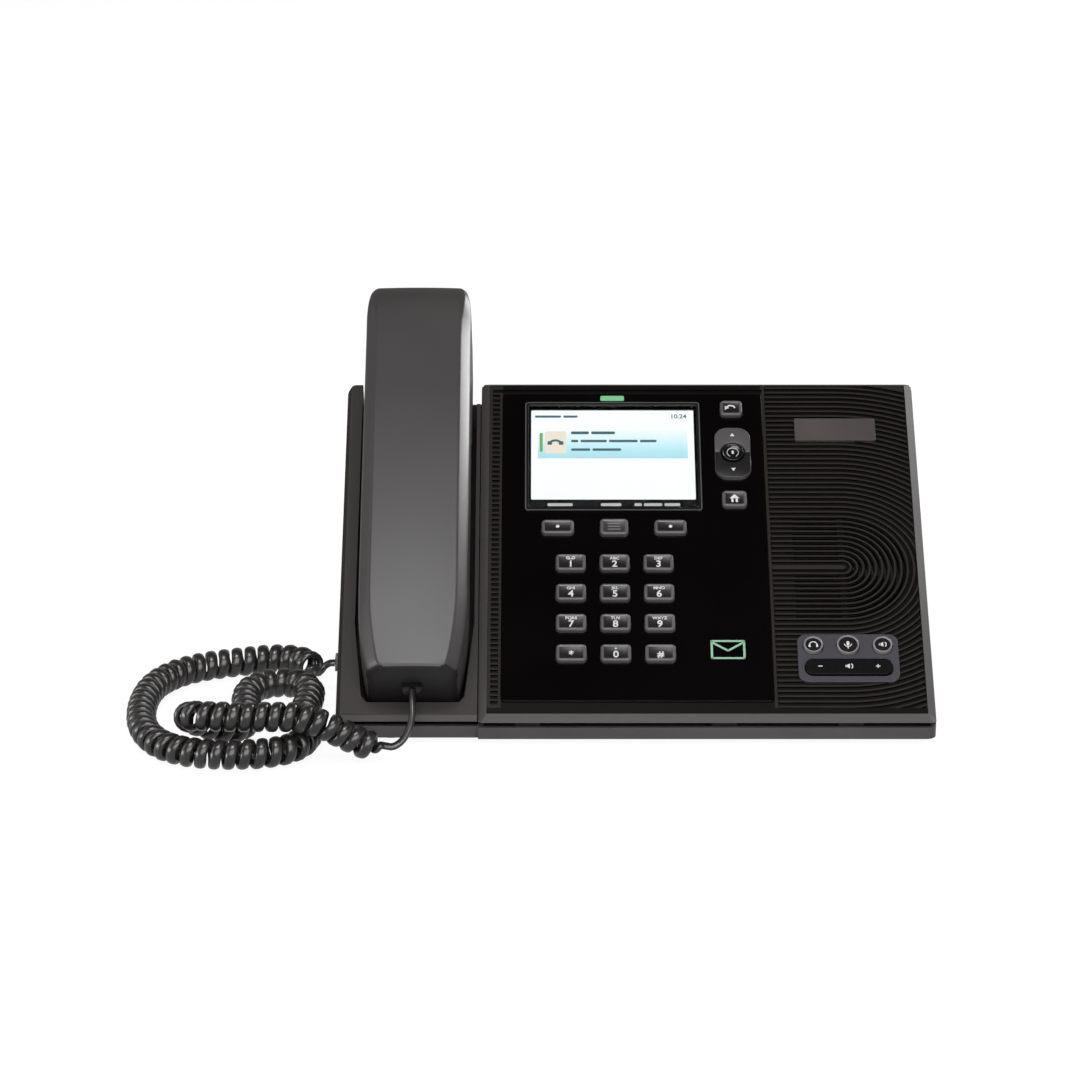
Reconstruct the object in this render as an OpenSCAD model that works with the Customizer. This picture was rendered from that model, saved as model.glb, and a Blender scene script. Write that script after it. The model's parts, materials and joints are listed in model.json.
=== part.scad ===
// Desk IP phone: a sloping main body with a colour display, dial pad and ribbed
// speaker grille, and a handset cradle on its left with a curly cord.
// Origin: middle of the footprint on the desk. +X right, +Y to the rear, +Z up.
// Face coordinates (x, l, n): x across, l up the slope, n outward, square to the face.

/* [Overall] */
// Width over the cradle and the main body
phone_w = 240; // [236:1:256]
// Length of the sloping face, front edge to rear edge
face_len = 176; // [174:1:190]
// Slope of the face above the desk, degrees
face_angle = 31; // [28:0.5:34]
// Height of the front edge of the face above the desk
front_h = 12.5; // [12:0.5:15]
// Thickness of the sloping housing, square to its face
housing_t = 26; // [25:0.5:30]
// Wall of the moulded housings
wall = 2.2; // [1.8:0.1:2.6]
// Depth of the flat bottom, front edge to connector wall
floor_d = 96; // [88:1:104]
// Radius of the upright corners in plan
corner_r = 4; // [3:0.5:6]
// How far the stand reaches behind the housing
stand_reach = 9.8; // [6:0.2:20]

/* [Front cover] */
// Thickness of the front cover
cover_t = 4.5; // [4:0.1:5.5]
// Width of the bevel round the face
bevel_w = 3.4; // [2.5:0.1:4]
// Drop of the bevel round the face
bevel_h = 3.2; // [2:0.1:3.6]
// Pitch of the decorative ribs
rib_pitch = 2.6; // [2.3:0.1:3.2]
// Width of each groove between ribs
groove_w = 1.7; // [1:0.1:1.9]
// Depth of each groove
groove_d = 0.8; // [0.5:0.1:1.2]

/* [Key panel] */
// Width of the glossy key panel
panel_w = 109.5; // [106:0.5:112]
// Gap from the left edge of the body to the panel
panel_side = 9.3; // [8.5:0.1:10.5]
// Gap from the front edge of the face to the panel
panel_front = 5.9; // [5:0.1:8]
// Gap from the panel to the rear edge of the face
panel_rear = 8.6; // [7:0.1:10]
// Thickness of the panel
panel_t = 2.8; // [2.4:0.1:3.2]
// Height of the panel above the face
panel_proud = 0.6; // [0.2:0.1:1]
// Running clearance round keys and inserts
clearance = 0.3; // [0.2:0.05:0.45]

/* [Display] */
// Width of the display window
window_w = 70.6; // [66:0.2:74]
// Length of the display window up the slope
window_len = 55.9; // [52:0.1:58]
// Gap from the left edge of the panel to the window
window_side = 11; // [8:0.5:13]
// Gap from the rear edge of the panel to the window
window_rear = 6.6; // [6:0.1:8]
// Width of the trim round the window
trim_w = 1.5; // [1:0.1:2]
// Length of the status light
light_w = 10; // [6:0.5:14]

/* [Keys] */
// Width of a dial key
key_w = 12.4; // [10:0.2:13.4]
// Length of a dial key up the slope
key_len = 8.5; // [7:0.1:10]
// Height of the keys above the panel
key_proud = 1.8; // [1.3:0.1:2.6]
// Travel of each key
key_travel = 1; // [0.6:0.1:1.2]
// Pitch of the dial keys across
dial_pitch_x = 18; // [17:0.5:19]
// Pitch of the dial keys up the slope
dial_pitch_l = 15.45; // [14:0.05:16]
// Gap from the centre of the first dial row to the centre of the soft keys
dial_drop = 18.65; // [17:0.05:20]
// Width of an outer soft key
soft_w = 13.4; // [11:0.2:15]
// Length of an outer soft key up the slope
soft_len = 7.4; // [6:0.2:8.4]
// Pitch of the soft keys
soft_pitch = 23.3; // [21:0.1:25]
// Gap from the display window to the centre of the soft keys
soft_drop = 10.7; // [10:0.1:12]
// Distance of the navigation keys from the right edge of the panel
nav_side = 13; // [11:0.5:15]
// Width of the navigation pad
nav_w = 15; // [13:0.5:17]
// Length of the navigation pad up the slope
nav_len = 27; // [25:0.5:29]
// Diameter of the select key
select_d = 9; // [7.5:0.5:10]

/* [Speaker side] */
// Margin between the grille and the edges of the face
grille_side = 3.8; // [3.5:0.1:5]
// Distance of the grille's ring centre from the right edge
ring_side = 34; // [31:0.5:36]
// Height of the ring centre up the face
ring_l = 74.5; // [70:0.5:80]
// Diameter of the loudspeaker
speaker_d = 50; // [44:1:54]
// Diameter of the loudspeaker's magnet
magnet_d = 26; // [20:1:30]
// Width of the audio key plate
audio_w = 40.7; // [38:0.1:43]
// Length of the audio key plate up the slope
audio_len = 23.8; // [22:0.1:25]
// Height of the centre of the audio key plate up the face
audio_l = 27.6; // [24:0.2:30]
// Diameter of the mute key
mute_d = 9; // [8:0.2:9.6]
// Diameter of the headset and speaker keys
round_d = 7.8; // [6.6:0.2:8.6]
// Width of the volume rocker
rocker_w = 35; // [30:0.5:36]
// Length of the volume rocker up the slope
rocker_len = 7.5; // [6.5:0.1:8]
// Tilt of the rocker each way, degrees
rocker_tilt = 2.5; // [1:0.5:3]
// Width of the plain badge plate
badge_w = 34; // [28:1:38]

/* [Cradle and handset] */
// Width of the handset
handset_w = 44.7; // [43:0.1:47]
// Length of the handset
handset_len = 193; // [188:1:200]
// Gap from the front edge of the face to the handset
handset_front = 8; // [7.6:0.1:10]
// Height of the handset's back above the face at its lower end
back_low = 22; // [20:0.5:25]
// Height of the handset's back above the face at its upper end
back_high = 35; // [31:0.5:38]
// Wall of the handset shells
handset_wall = 2.2; // [1.8:0.1:2.6]
// Depth of the cradle floor below the face
cradle_depth = 14; // [13:0.2:15]
// Clearance between the handset and the cradle sides
handset_slack = 1.9; // [1.4:0.1:2.4]
// Thickness of the outer cradle wall
cradle_outer = 6.5; // [5.5:0.1:7.5]
// Thickness of the cradle wall beside the body
cradle_inner = 1.7; // [1.4:0.1:2.2]
// Travel of the hook plunger
hook_travel = 3; // [1.5:0.25:3.25]
// Diameter of the hook plunger
hook_d = 6; // [4:0.5:8]

/* [Feet and sockets] */
// Height of the rubber feet
foot_h = 2.5; // [2:0.1:3.5]
// Diameter of the rubber feet
foot_d = 14; // [10:0.5:16]
// Width of a network socket
rj45_w = 16; // [15.5:0.1:16.8]
// Height of a network socket
rj45_h = 13.6; // [13:0.1:14.5]
// Outer diameter of the curly cord's coil
coil_d = 12.5; // [11:0.1:12.5]
// Diameter of the straight cord leads
lead_d = 3.4; // [3:0.1:4]

/* [Hidden] */
dial_names = [for (i = [1:12]) str("dial_key_", i)];
$fn = 48;
eps = 0.02;

black = "#161414";
gloss = "#070707";
dark = "#2b2929";
mid = "#4a4644";
light = "#6d6866";

sin_a = sin(face_angle);
cos_a = cos(face_angle);
face_setback = 2;
phone_d = face_setback + face_len * cos_a + housing_t * sin_a + stand_reach;
front_y = -phone_d / 2;
face_y = front_y + face_setback;

// A face point (l, n) in the side view, and where a line n crosses a height or a depth.
function side_y(l, n) = face_y + l * cos_a - n * sin_a;
function side_z(l, n) = front_h + l * sin_a + n * cos_a;
function l_at_z(n, z) = (z - front_h - n * cos_a) / sin_a;
function l_at_y(n, y) = (y - face_y + n * sin_a) / cos_a;
function face_l(y, z) = (y - face_y) * cos_a + (z - front_h) * sin_a;
function face_n(y, z) = (z - front_h) * cos_a - (y - face_y) * sin_a;
function face_pair(y, z) = [face_l(y, z), face_n(y, z)];

// Places across the phone, from the cradle on the left to the grille on the right.
cradle_w = cradle_outer + 2 * handset_slack + handset_w + cradle_inner;
phone_x0 = -phone_w / 2;
phone_x1 = phone_w / 2;
body_x0 = phone_x0 + cradle_w;
handset_x = phone_x0 + cradle_outer + handset_slack + handset_w / 2;
seam = 0.2;

// Housing: the lip and groove along the front, and the split under the front cover.
lip_top = foot_h + 4.8;
groove_top = front_h - 3.2;
cover_n = -cover_t;
split_n = cover_n - clearance;
cover_front = face_pair(front_y + 0.4, groove_top);
cradle_setback = 1.5;
cradle_wall_cut = 13;
cradle_floor_n = -cradle_depth;
cradle_under_n = cradle_floor_n - wall - seam;
inner_n = -housing_t + wall;
wall_y = front_y + floor_d;

// Key panel and display.
panel_x0 = body_x0 + panel_side;
panel_x1 = panel_x0 + panel_w;
panel_l0 = panel_front;
panel_l1 = face_len - panel_rear;
panel_under_n = panel_proud - panel_t;
panel_ledge = 3;
panel_r = 1.5;
window_x0 = panel_x0 + window_side;
window_x1 = window_x0 + window_w;
window_l1 = panel_l1 - window_rear;
window_l0 = window_l1 - window_len;
window_x = (window_x0 + window_x1) / 2;
window_t = 1.8;
trim_proud = 0.7;
light_len = 2.4;
light_l = (window_l1 + trim_w + panel_l1) / 2;

// Key stack below the panel: flange, stem, membrane and circuit board.
flange_w = 0.9;
flange_gap = 0.35;
flange_t = 1.4;
stem_d = 4.5;
membrane_gap = 0.2;
membrane_t = 0.8;
pad_t = 1.2;
stem_n = panel_under_n - flange_gap - flange_t - 3.6;
pad_n = stem_n - key_travel - membrane_gap;
membrane_n = pad_n - pad_t;
board_n = membrane_n - membrane_t;
board_t = 1.6;
chip = 18;
chip_t = 1.6;
can_d = 5;
board_under_n = board_n - board_t;
board_x0 = body_x0 + 5.5;
board_x1 = phone_x1 - 8;
board_l0 = 14.5;
board_l1 = panel_l1 - 7;
pillar_d = 6;
cradle_screw_len = 6.4;

soft_l = window_l0 - soft_drop;
dial_l = soft_l - dial_drop - 3 * dial_pitch_l;
soft_middle_w = soft_w - 1.7;
soft_middle_len = soft_len + 1;
nav_x = panel_x1 - nav_side;
home_size = [10.3, 8.5];
back_size = [9.4, 8.2];
nav_gap = 6.4;
select_gap = 0.8;
home_l = window_l0 + home_size[1] / 2;
nav_l = home_l + home_size[1] / 2 + 2 * clearance + nav_gap + nav_len / 2;
back_l = nav_l + nav_len / 2 + 2 * clearance + nav_gap + back_size[1] / 2;

// Speaker side.
ring_x = phone_x1 - ring_side;
grille_x0 = panel_x1 + 1.5;
grille_x1 = phone_x1 - grille_side;
grille_l0 = 3;
grille_l1 = face_len - bevel_w;
grille_t = 3;
rib_count = floor(max(grille_l1 - ring_l, ring_l - grille_l0) / rib_pitch);
ring_slots = 9;
magnet_n = cover_n - 15;
slot_w = 0.9;
audio_row = 5.8;
audio_pitch = 14;
plate_t = 2;
plate_ledge = 0.7;
plate_proud = 0.5;
rocker_l = audio_l - 5;
rocker_pin_n = -3.6;
rocker_pin_d = 2;
badge_l = panel_l1 - 19.5;
badge_len = 12;

// Cradle and handset.
handset_l0 = handset_front;
handset_l1 = handset_front + handset_len;
handset_split_n = 11;
cup_n = cradle_floor_n + clearance;
handle_n = 7;
end_n = 4;
edge_r = 6.5;
low_corner_r = 4;
high_corner_r = 7;
trough_l0 = handset_l0 - 1.7;
trough_r = 5;
hook_l = handset_l0 + 155;
hook_flange_d = hook_d + 4;
hook_flange_n = cradle_under_n - hook_travel - 1.3;
hook_rest_n = cup_n - 0.2;
hook_switch_h = 2.2;
ear_l0 = handset_l1 - 49;
ear_l1 = handset_l1 - 23;
ear_l = (ear_l0 + ear_l1) / 2;
mouth_l = handset_l0 + 24;
ear_d = 26;
mic_d = 9.7;
handset_screw_inset = [70, 74];
handset_screw_l = [handset_l0 + handset_screw_inset[0], handset_l1 - handset_screw_inset[1]];

// Sockets and plugs, 4P4C for the handset and 8P8C for the network.
plug_size = [7.6, 14.5, 5.8];
plug_show = 2.5;
plug_n = 7.6;
jack_wall = 1.8;
cord_back = 57;
cord_y = front_y + cord_back;
cord_z = 12;
io_board_z = foot_h + wall + 2.4;
io_board_t = 1.6;
io_board_len = 30;
io_board_side = 13;
io_z = io_board_z + io_board_t;
rj45_depth = 20;
lan_x = 30;
pc_x = lan_x + rj45_w + 4;
headset_x = -14;
rj9_w = 12;
rj9_h = 10.4;

// Screws and stand.
screw_d = 2.5;
screw_head_d = 5.4;
screw_head_h = 2;
boss_d = 7;
well_d = 6.4;
well_depth = 3.5;
rear_screw_l = face_len - 9;
rear_screw_x = [panel_x0 + 3, window_x1 + 5, ring_x + 20];
cradle_screw_x = [handset_x - 14, handset_x + 14];
stand_t = 3;
stand_half = 92;
stand_l0 = 124;
stand_l1 = face_len - 8;
stand_screw_x = 62;
stand_screw_l = stand_l0 + 14;
stand_y = front_y + phone_d;
stand_foot = 18;
cable_w = 70;
cable_h = 24;
front_foot_x = 98;
front_foot_y = front_y + 14;
rear_foot_x = 78;

// Cord route, from the cradle's side wall to the handset's lower end.
coil_route = [
    [-131, 63, 6.6], [-134, 69, 6.5], [-140, 74, 6.5], [-149, 75, 6.5], [-158, 73, 6.5],
    [-168, 70, 6.5], [-176, 67, 6.5], [-183, 63, 6.5], [-189.5, 57, 6.5], [-195, 48, 6.5],
    [-198, 37, 6.5], [-199, 25, 6.5], [-198.5, 13, 6.5], [-196.5, 2, 6.5], [-192.5, -8, 6.5],
    [-186.5, -16, 6.5], [-178, -21.5, 6.5], [-168, -24, 6.5], [-157, -24.5, 6.5],
    [-146, -23, 6.5], [-137, -18.5, 6.5], [-132, -11, 6.5], [-130.5, -1, 6.5],
    [-132, 10, 6.5], [-133, 20, 6.5], [-132, 31, 6.5], [-132.5, 41, 6.5], [-138, 48, 6.5],
    [-147, 49, 6.5], [-154.5, 44, 6.5], [-157.5, 35, 6.5], [-157, 25, 6.5], [-156, 15, 6.5],
    [-157, 6, 6.5], [-162, -1, 7.5], [-170, -4, 10.5], [-177, -8, 15], [-175, -14, 18.5],
    [-166, -17, 19.5], [-155, -17.5, 19.5], [-144, -17.5, 19.5], [-134, -17.5, 19.2],
    [-124, -17, 16], [-115, -16, 11], [-107.5, -16.5, 7.6], [-100, -16, 6.6]
];
base_lead_route = [
    [-122.7, 57, 12], [-124.6, 57, 12], [-126.7, 57.2, 10.7], [-128.2, 58.2, 8.4],
    [-129.5, 60, 6.65], [-131, 63, 6.6]
];
handset_lead_route = [
    [-100, -16, 6.6], [-96.25, -15.75, 6.1], [-92.6, -13.6, 8], [-90, -10, 11.8],
    [-88.9, -6, 15.8], [-89, -1.6, 19.25], [-89.25, 2.7, 21.8]
];

// Puts children given in face coordinates on the sloping face.
module on_face() {
    translate([0, face_y, front_h]) rotate([face_angle, 0, 0]) children();
}

// Extrudes a side profile, drawn as (depth, height), across the width.
module along_x(x0, x1) {
    translate([x0, 0, 0]) rotate([90, 0, 90]) linear_extrude(x1 - x0) children();
}

// Extrudes a cross-section, drawn as (x, n), up the slope.
module along_l(l0, l1) {
    translate([0, l1, 0]) rotate([90, 0, 0]) linear_extrude(l1 - l0) children();
}

module rounded_rect(w, l, r) {
    square([w - 2 * r, l], center = true);
    square([w, l - 2 * r], center = true);
    for (x = [-1, 1], y = [-1, 1])
        translate([x * (w / 2 - r), y * (l / 2 - r)]) circle(r, $fn = 32);
}

// A plate with rounded corners between two corners and two heights.
module plate(x0, x1, l0, l1, n0, n1, r) {
    translate([(x0 + x1) / 2, (l0 + l1) / 2, n0])
        linear_extrude(n1 - n0) rounded_rect(x1 - x0, l1 - l0, r);
}

// The same about a centre.
module pad(x, l, w, len, n0, n1, r) {
    plate(x - w / 2, x + w / 2, l - len / 2, l + len / 2, n0, n1, r);
}

module box_between(a, b) {
    translate(a) cube(b - a);
}

module post(x, l, d, n0, n1) {
    translate([x, l, n0]) cylinder(d = d, h = n1 - n0);
}

// Side outline of the lower housing, set in by a wall and open above when raised.
module housing_side(inset, top_n, setback, raise) {
    y0 = front_y + setback + inset;
    z0 = foot_h + inset;
    y1 = wall_y - inset;
    low_n = -housing_t + inset;
    end_l = face_len - inset;
    lip_z = lip_top + raise;
    high_n = top_n + raise;
    polygon([
        [y0, z0], [y1, z0],
        [y1, side_z(l_at_y(low_n, y1), low_n)],
        [side_y(end_l, low_n), side_z(end_l, low_n)],
        [side_y(end_l, high_n), side_z(end_l, high_n)],
        [side_y(l_at_z(high_n, lip_z), high_n), lip_z],
        [y0, lip_z]
    ]);
}

module housing_outside() {
    intersection() {
        union() {
            along_x(body_x0 + seam, phone_x1) housing_side(0, split_n, 0, 0);
            along_x(phone_x0, body_x0 + seam + eps) housing_side(0, cradle_under_n, cradle_setback, 0);
        }
        plate(phone_x0, phone_x1, front_y, front_y + phone_d, 0, 200, corner_r);
    }
}

module housing_inside() {
    open = 12;
    along_x(body_x0 + seam + wall, phone_x1 - wall) housing_side(wall, split_n, 0, open);
    along_x(phone_x0 + wall, body_x0 + seam + wall + eps)
        housing_side(wall, cradle_under_n, cradle_setback, seam / 2 + eps);
}

module screw_well(x, l) {
    post(x, l, well_d, -housing_t - 1, -housing_t + well_depth);
    post(x, l, screw_d + 0.7, -housing_t - 1, -housing_t + 2 * well_depth);
}

module base_housing() {
    vent_count = 9;
    vent_pitch = 7;
    color(dark) difference() {
        union() {
            difference() {
                housing_outside();
                housing_inside();
            }
            intersection() {
                housing_outside();
                on_face() {
                    for (x = rear_screw_x) post(x, rear_screw_l, boss_d + 2, -housing_t, -housing_t + 6);
                    for (x = cradle_screw_x) post(x, rear_screw_l - 4, boss_d + 2, -housing_t, -housing_t + 6);
                    for (x = [-1, 1]) post(x * stand_screw_x, stand_screw_l, boss_d, -housing_t, inner_n + 4);
                    for (x = [board_x0 + 8, board_x1 - 8], l = [board_l0 + 22, board_l1 - 8])
                        post(x, l, pillar_d, -housing_t - 12, board_under_n);
                }
            }
            for (x = [headset_x - 8, pc_x + 10], y = [wall_y - 24, wall_y - 7])
                translate([x, y, foot_h + wall - eps]) cylinder(d = pillar_d, h = io_board_z - foot_h - wall + eps);
        }
        on_face() {
            for (x = rear_screw_x) screw_well(x, rear_screw_l);
            for (x = cradle_screw_x) screw_well(x, rear_screw_l - 4);
            for (x = [-1, 1]) post(x * stand_screw_x, stand_screw_l, screw_d, -housing_t - 1, inner_n + 5);
            for (i = [0:vent_count - 1])
                pad(ring_x - 30 + i * vent_pitch, stand_l0 - 10, 2.4, 12, -housing_t - 1, inner_n + 1, 1.1);
        }
        for (x = [lan_x, pc_x]) socket_hole(x, rj45_w, rj45_h);
        socket_hole(headset_x, rj9_w, rj9_h);
        box_between(
            [phone_x0 - 1, cord_y - rj9_w / 2 - seam, cord_z - rj9_h / 2 - seam],
            [phone_x0 + wall + 1, cord_y + rj9_w / 2 + seam, cord_z + rj9_h / 2 + seam]
        );
    }
}

module socket_hole(x, w, h) {
    box_between([x - w / 2 - seam, wall_y - wall - 1, io_z - seam], [x + w / 2 + seam, wall_y + 1, io_z + h + seam]);
}

module cover_side() {
    polygon([
        [0, 0], [face_len - bevel_w, 0], [face_len, -bevel_h], [face_len, cover_n],
        [l_at_z(cover_n, groove_top - 0.6), cover_n], cover_front
    ]);
}

module cover_section() {
    x0 = body_x0 + seam;
    polygon([
        [x0, -20], [x0, -bevel_h], [x0 + bevel_w, 0], [phone_x1 - bevel_w, 0],
        [phone_x1, -bevel_h], [phone_x1, -20]
    ]);
}

// Rows of short grooves beside the panel and long ones above and below it.
module cover_grooves() {
    x0 = body_x0 + bevel_w + 1.6;
    for (k = [-rib_count:rib_count]) {
        l = ring_l + (k + 0.5) * rib_pitch;
        beside = l > panel_l0 - 1 && l < panel_l1 + 1;
        x1 = beside ? panel_x0 - 1.2 : grille_x0 - 1;
        if (l > grille_l0 && l < grille_l1 - groove_w)
            box_between([x0, l - groove_w / 2, -groove_d], [x1, l + groove_w / 2, 1]);
    }
}

module front_cover() {
    color(black) on_face() difference() {
        union() {
            intersection() {
                along_x(body_x0 + seam, phone_x1) cover_side();
                along_l(-10, face_len) cover_section();
                plate(body_x0 + seam, phone_x1, -10, face_len, -20, 1, corner_r);
            }
            for (x = rear_screw_x) post(x, rear_screw_l, boss_d, -housing_t + 6 + seam, cover_n + eps);
            for (x = [body_x0 + 20, panel_x1 - 20, ring_x])
                box_between([x - 5, face_l(front_y + wall + 0.3, lip_top) + 1.2, cover_n - 3.4], [x + 5, 4, cover_n + eps]);
        }
        cover_grooves();
        pad_gap = clearance / 2;
        plate(panel_x0 - pad_gap, panel_x1 + pad_gap, panel_l0 - pad_gap, panel_l1 + pad_gap, panel_under_n, 1, panel_r);
        plate(panel_x0 + panel_ledge, panel_x1 - panel_ledge, panel_l0 + panel_ledge, panel_l1 - panel_ledge,
            cover_n - 1, 1, panel_r);
        plate(grille_x0 - pad_gap, grille_x1 + pad_gap, grille_l0 - pad_gap, grille_l1 + pad_gap, -grille_t, 1, panel_r);
        post(ring_x, ring_l, speaker_d - 4, cover_n - 1, 1);
        pad(ring_x, audio_l, audio_w - 2 * plate_ledge, audio_len - 2 * plate_ledge, cover_n - 1, 1, 2.5);
        for (x = rear_screw_x) post(x, rear_screw_l, screw_d, -housing_t, cover_n - 2);
    }
}

// Half width of the handset at a distance l, tapering to its lower end.
function end_round(d, r) = d < r ? r - sqrt(max(0, r * r - (r - d) * (r - d))) : 0;
taper_len = 38;
taper_w = 4.4;
function low_taper(d) = d < taper_len ? taper_w * pow(1 - d / taper_len, 2) : 0;
function high_taper(d) = d < 50 ? 1.2 * pow(1 - d / 50, 2) : 0;
function half_w(l) = handset_w / 2 - low_taper(l - handset_l0) - high_taper(handset_l1 - l)
    - end_round(l - handset_l0, low_corner_r) - end_round(handset_l1 - l, high_corner_r);
// Height of the crowned back at a distance l.
function crown(l) = back_high - (back_high - back_low) * pow(1 - (l - handset_l0) / handset_len, 2);
function back_n(l) = crown(l) - end_round(l - handset_l0, low_corner_r) - end_round(handset_l1 - l, 8);
handset_stops = concat(
    [for (d = [0, 0.4, 1.2, 2.4, 4, 8, 14, 20, 26, 32, 38]) handset_l0 + d],
    [for (d = [80, 50, 38, 26, 16, 9, 7, 5, 3, 1.6, 0.5, 0]) handset_l1 - d]
);

// Underside: a mouth cup and an ear cup that seat in the cradle, with an arch between.
function ease(t) = t * t * (3 - 2 * t);
cup_end = 10;
mouth_len = 38;
arch_len = 24;
function under_n(l) =
    l < handset_l0 + cup_end ? -4 + (cup_n + 4) * sqrt(1 - pow(1 - (l - handset_l0) / cup_end, 2)) :
    l < handset_l0 + mouth_len ? cup_n :
    l < handset_l0 + mouth_len + arch_len ? cup_n + (handle_n - cup_n) * ease((l - handset_l0 - mouth_len) / arch_len) :
    l < ear_l0 - arch_len ? handle_n :
    l < ear_l0 ? handle_n + (cup_n - handle_n) * ease((l - ear_l0 + arch_len) / arch_len) :
    l < ear_l1 ? cup_n :
    cup_n + (end_n - cup_n) * (1 - sqrt(max(0, 1 - pow((l - ear_l1) / (handset_l1 - ear_l1), 2))));
under_stops = concat(
    [for (t = [0:0.125:1]) handset_l0 + cup_end * t],
    [for (t = [0:0.125:1]) handset_l0 + mouth_len + arch_len * t],
    [for (t = [0:0.125:1]) ear_l0 - arch_len * (1 - t)],
    [for (t = [0, 0.3, 0.5, 0.7, 0.82, 0.9, 0.96, 0.99, 1]) ear_l1 + (handset_l1 - ear_l1) * t]
);

module handset_plan(inset) {
    count = len(handset_stops) - 1;
    right = [for (i = [0:count]) [half_w(handset_stops[i]) - inset, handset_stops[i]]];
    left = [for (i = [count:-1:0]) [inset - half_w(handset_stops[i]), handset_stops[i]]];
    translate([handset_x, 0]) polygon(concat(right, left));
}

module handset_under(lift) {
    polygon(concat([for (l = under_stops) [l, under_n(l) + lift]],
        [[handset_l1, handset_split_n], [handset_l0, handset_split_n]]));
}

// One cross-section of the back: square at the parting line, rounded at the back.
module back_section(half, top) {
    r = min(edge_r, top - handset_split_n - 0.1);
    translate([-half, handset_split_n - 2]) square([2 * half, top - r - handset_split_n + 2]);
    for (x = [-1, 1]) translate([x * (half - r), top - r]) circle(r, $fn = 32);
}

module handset_back(inset) {
    hull() for (l = handset_stops)
        translate([handset_x, min(max(l, handset_l0 + inset), handset_l1 - inset - eps), 0])
            rotate([90, 0, 0]) translate([0, 0, -eps])
                linear_extrude(eps) back_section(half_w(l) - inset, back_n(l) - inset);
}

module handset_outer_shell() {
    color(mid) on_face() difference() {
        union() {
            difference() {
                handset_back(0);
                handset_back(handset_wall);
            }
            intersection() {
                handset_back(0);
                for (l = handset_screw_l) post(handset_x, l, boss_d, handset_split_n + 2.2, back_high);
            }
        }
        plate(handset_x - 40, handset_x + 40, handset_l0 - 5, handset_l1 + 5, -20, handset_split_n, 2);
        for (l = handset_screw_l) post(handset_x, l, screw_d, handset_split_n, handset_split_n + 10);
    }
}

module handset_inner_shell() {
    top = handset_split_n - 0.15;
    color(mid) on_face() difference() {
        union() {
            difference() {
                handset_inner_block(0, 0, top);
                handset_inner_block(handset_wall, handset_wall, top + 1);
            }
            for (l = handset_screw_l) post(handset_x, l, boss_d + 2, handle_n, handset_split_n + 2);
        }
        for (l = handset_screw_l) {
            post(handset_x, l, well_d, handle_n - 1, handset_split_n);
            post(handset_x, l, screw_d + 0.7, handle_n, handset_split_n + 3);
        }
        pad(handset_x, handset_l0, plug_size[0] + 1, 8, plug_n - plug_size[2] / 2 - 0.3,
            plug_n + plug_size[2] / 2 + 0.3, 0.2);
        for (ring = [[0, 1], [4, 6], [8, 12]], i = [0:ring[1] - 1])
            rotate_about(handset_x, ear_l, 360 * i / ring[1]) post(ring[0], 0, 1.8, cup_n - 1, cup_n + 5);
        for (x = [-3, 0, 3]) post(handset_x + x, mouth_l, 1.4, cup_n - 1, cup_n + 5);
    }
}

module rotate_about(x, l, angle) {
    translate([x, l, 0]) rotate([0, 0, angle]) children();
}

module handset_inner_block(inset, lift, top) {
    intersection() {
        along_x(handset_x - 30, handset_x + 30) polygon(concat(
            [for (l = under_stops) [l, under_n(l) + lift]],
            [[handset_l1, top + lift], [handset_l0, top + lift]]));
        translate([0, 0, -40]) linear_extrude(100) intersection() {
            handset_plan(inset);
            translate([handset_x - 40, handset_l0 + inset]) square([80, handset_len - 2 * inset]);
        }
    }
}

module earpiece_receiver() {
    n0 = cup_n + handset_wall;
    color(light) on_face() {
        post(handset_x, ear_l, ear_d, n0, n0 + 3);
        post(handset_x, ear_l, ear_d - 5, n0, n0 + 7.5);
    }
}

module handset_microphone() {
    n0 = cup_n + handset_wall;
    color(light) on_face() {
        post(handset_x, mouth_l, mic_d, n0, n0 + 4.5);
        post(handset_x, mouth_l, mic_d + 3, n0, n0 + 1.5);
    }
}

// A socket block with its opening toward -L.
module rj9_block(w, depth, h) {
    inside = [plug_size[0] + 0.5, plug_size[2] + 0.5];
    difference() {
        translate([-w / 2, 0, -h / 2]) cube([w, depth, h]);
        translate([-inside[0] / 2, -1, -inside[1] / 2]) cube([inside[0], depth + 0.2, inside[1]]);
    }
}

// A modular plug with its latch, pointing toward +L, tail at 0.
module rj9_plug() {
    translate([-plug_size[0] / 2, 0, -plug_size[2] / 2 + 0.8])
        cube([plug_size[0], plug_size[1], plug_size[2] - 0.8]);
    translate([-1.6, 1.5, -plug_size[2] / 2]) cube([3.2, plug_size[1] - 3, 1]);
}

module handset_jack() {
    l0 = handset_l0 + handset_wall + 0.15;
    color(dark) on_face() translate([handset_x, l0, plug_n])
        rj9_block(plug_size[0] + 2 * jack_wall, plug_size[1] - plug_show - handset_wall + 1.3, plug_size[2] + 0.9);
}

module handset_plug() {
    color("#dcdcd4") on_face() translate([handset_x, handset_l0 - plug_show, plug_n]) rj9_plug();
}

module base_handset_jack() {
    color(dark) translate([phone_x0 + 0.4, cord_y, cord_z]) rotate([0, 0, -90])
        rj9_block(rj9_w, plug_size[1] - plug_show + 1.2, rj9_h);
}

module base_plug() {
    color("#dcdcd4") translate([phone_x0 - plug_show, cord_y, cord_z]) rotate([0, 0, -90]) rj9_plug();
}

module handset_screws() {
    color("silver") on_face() for (l = handset_screw_l) {
        post(handset_x, l, screw_head_d, handset_split_n - screw_head_h, handset_split_n);
        post(handset_x, l, screw_d, handset_split_n - eps, handset_split_n + 9);
    }
}

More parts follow.
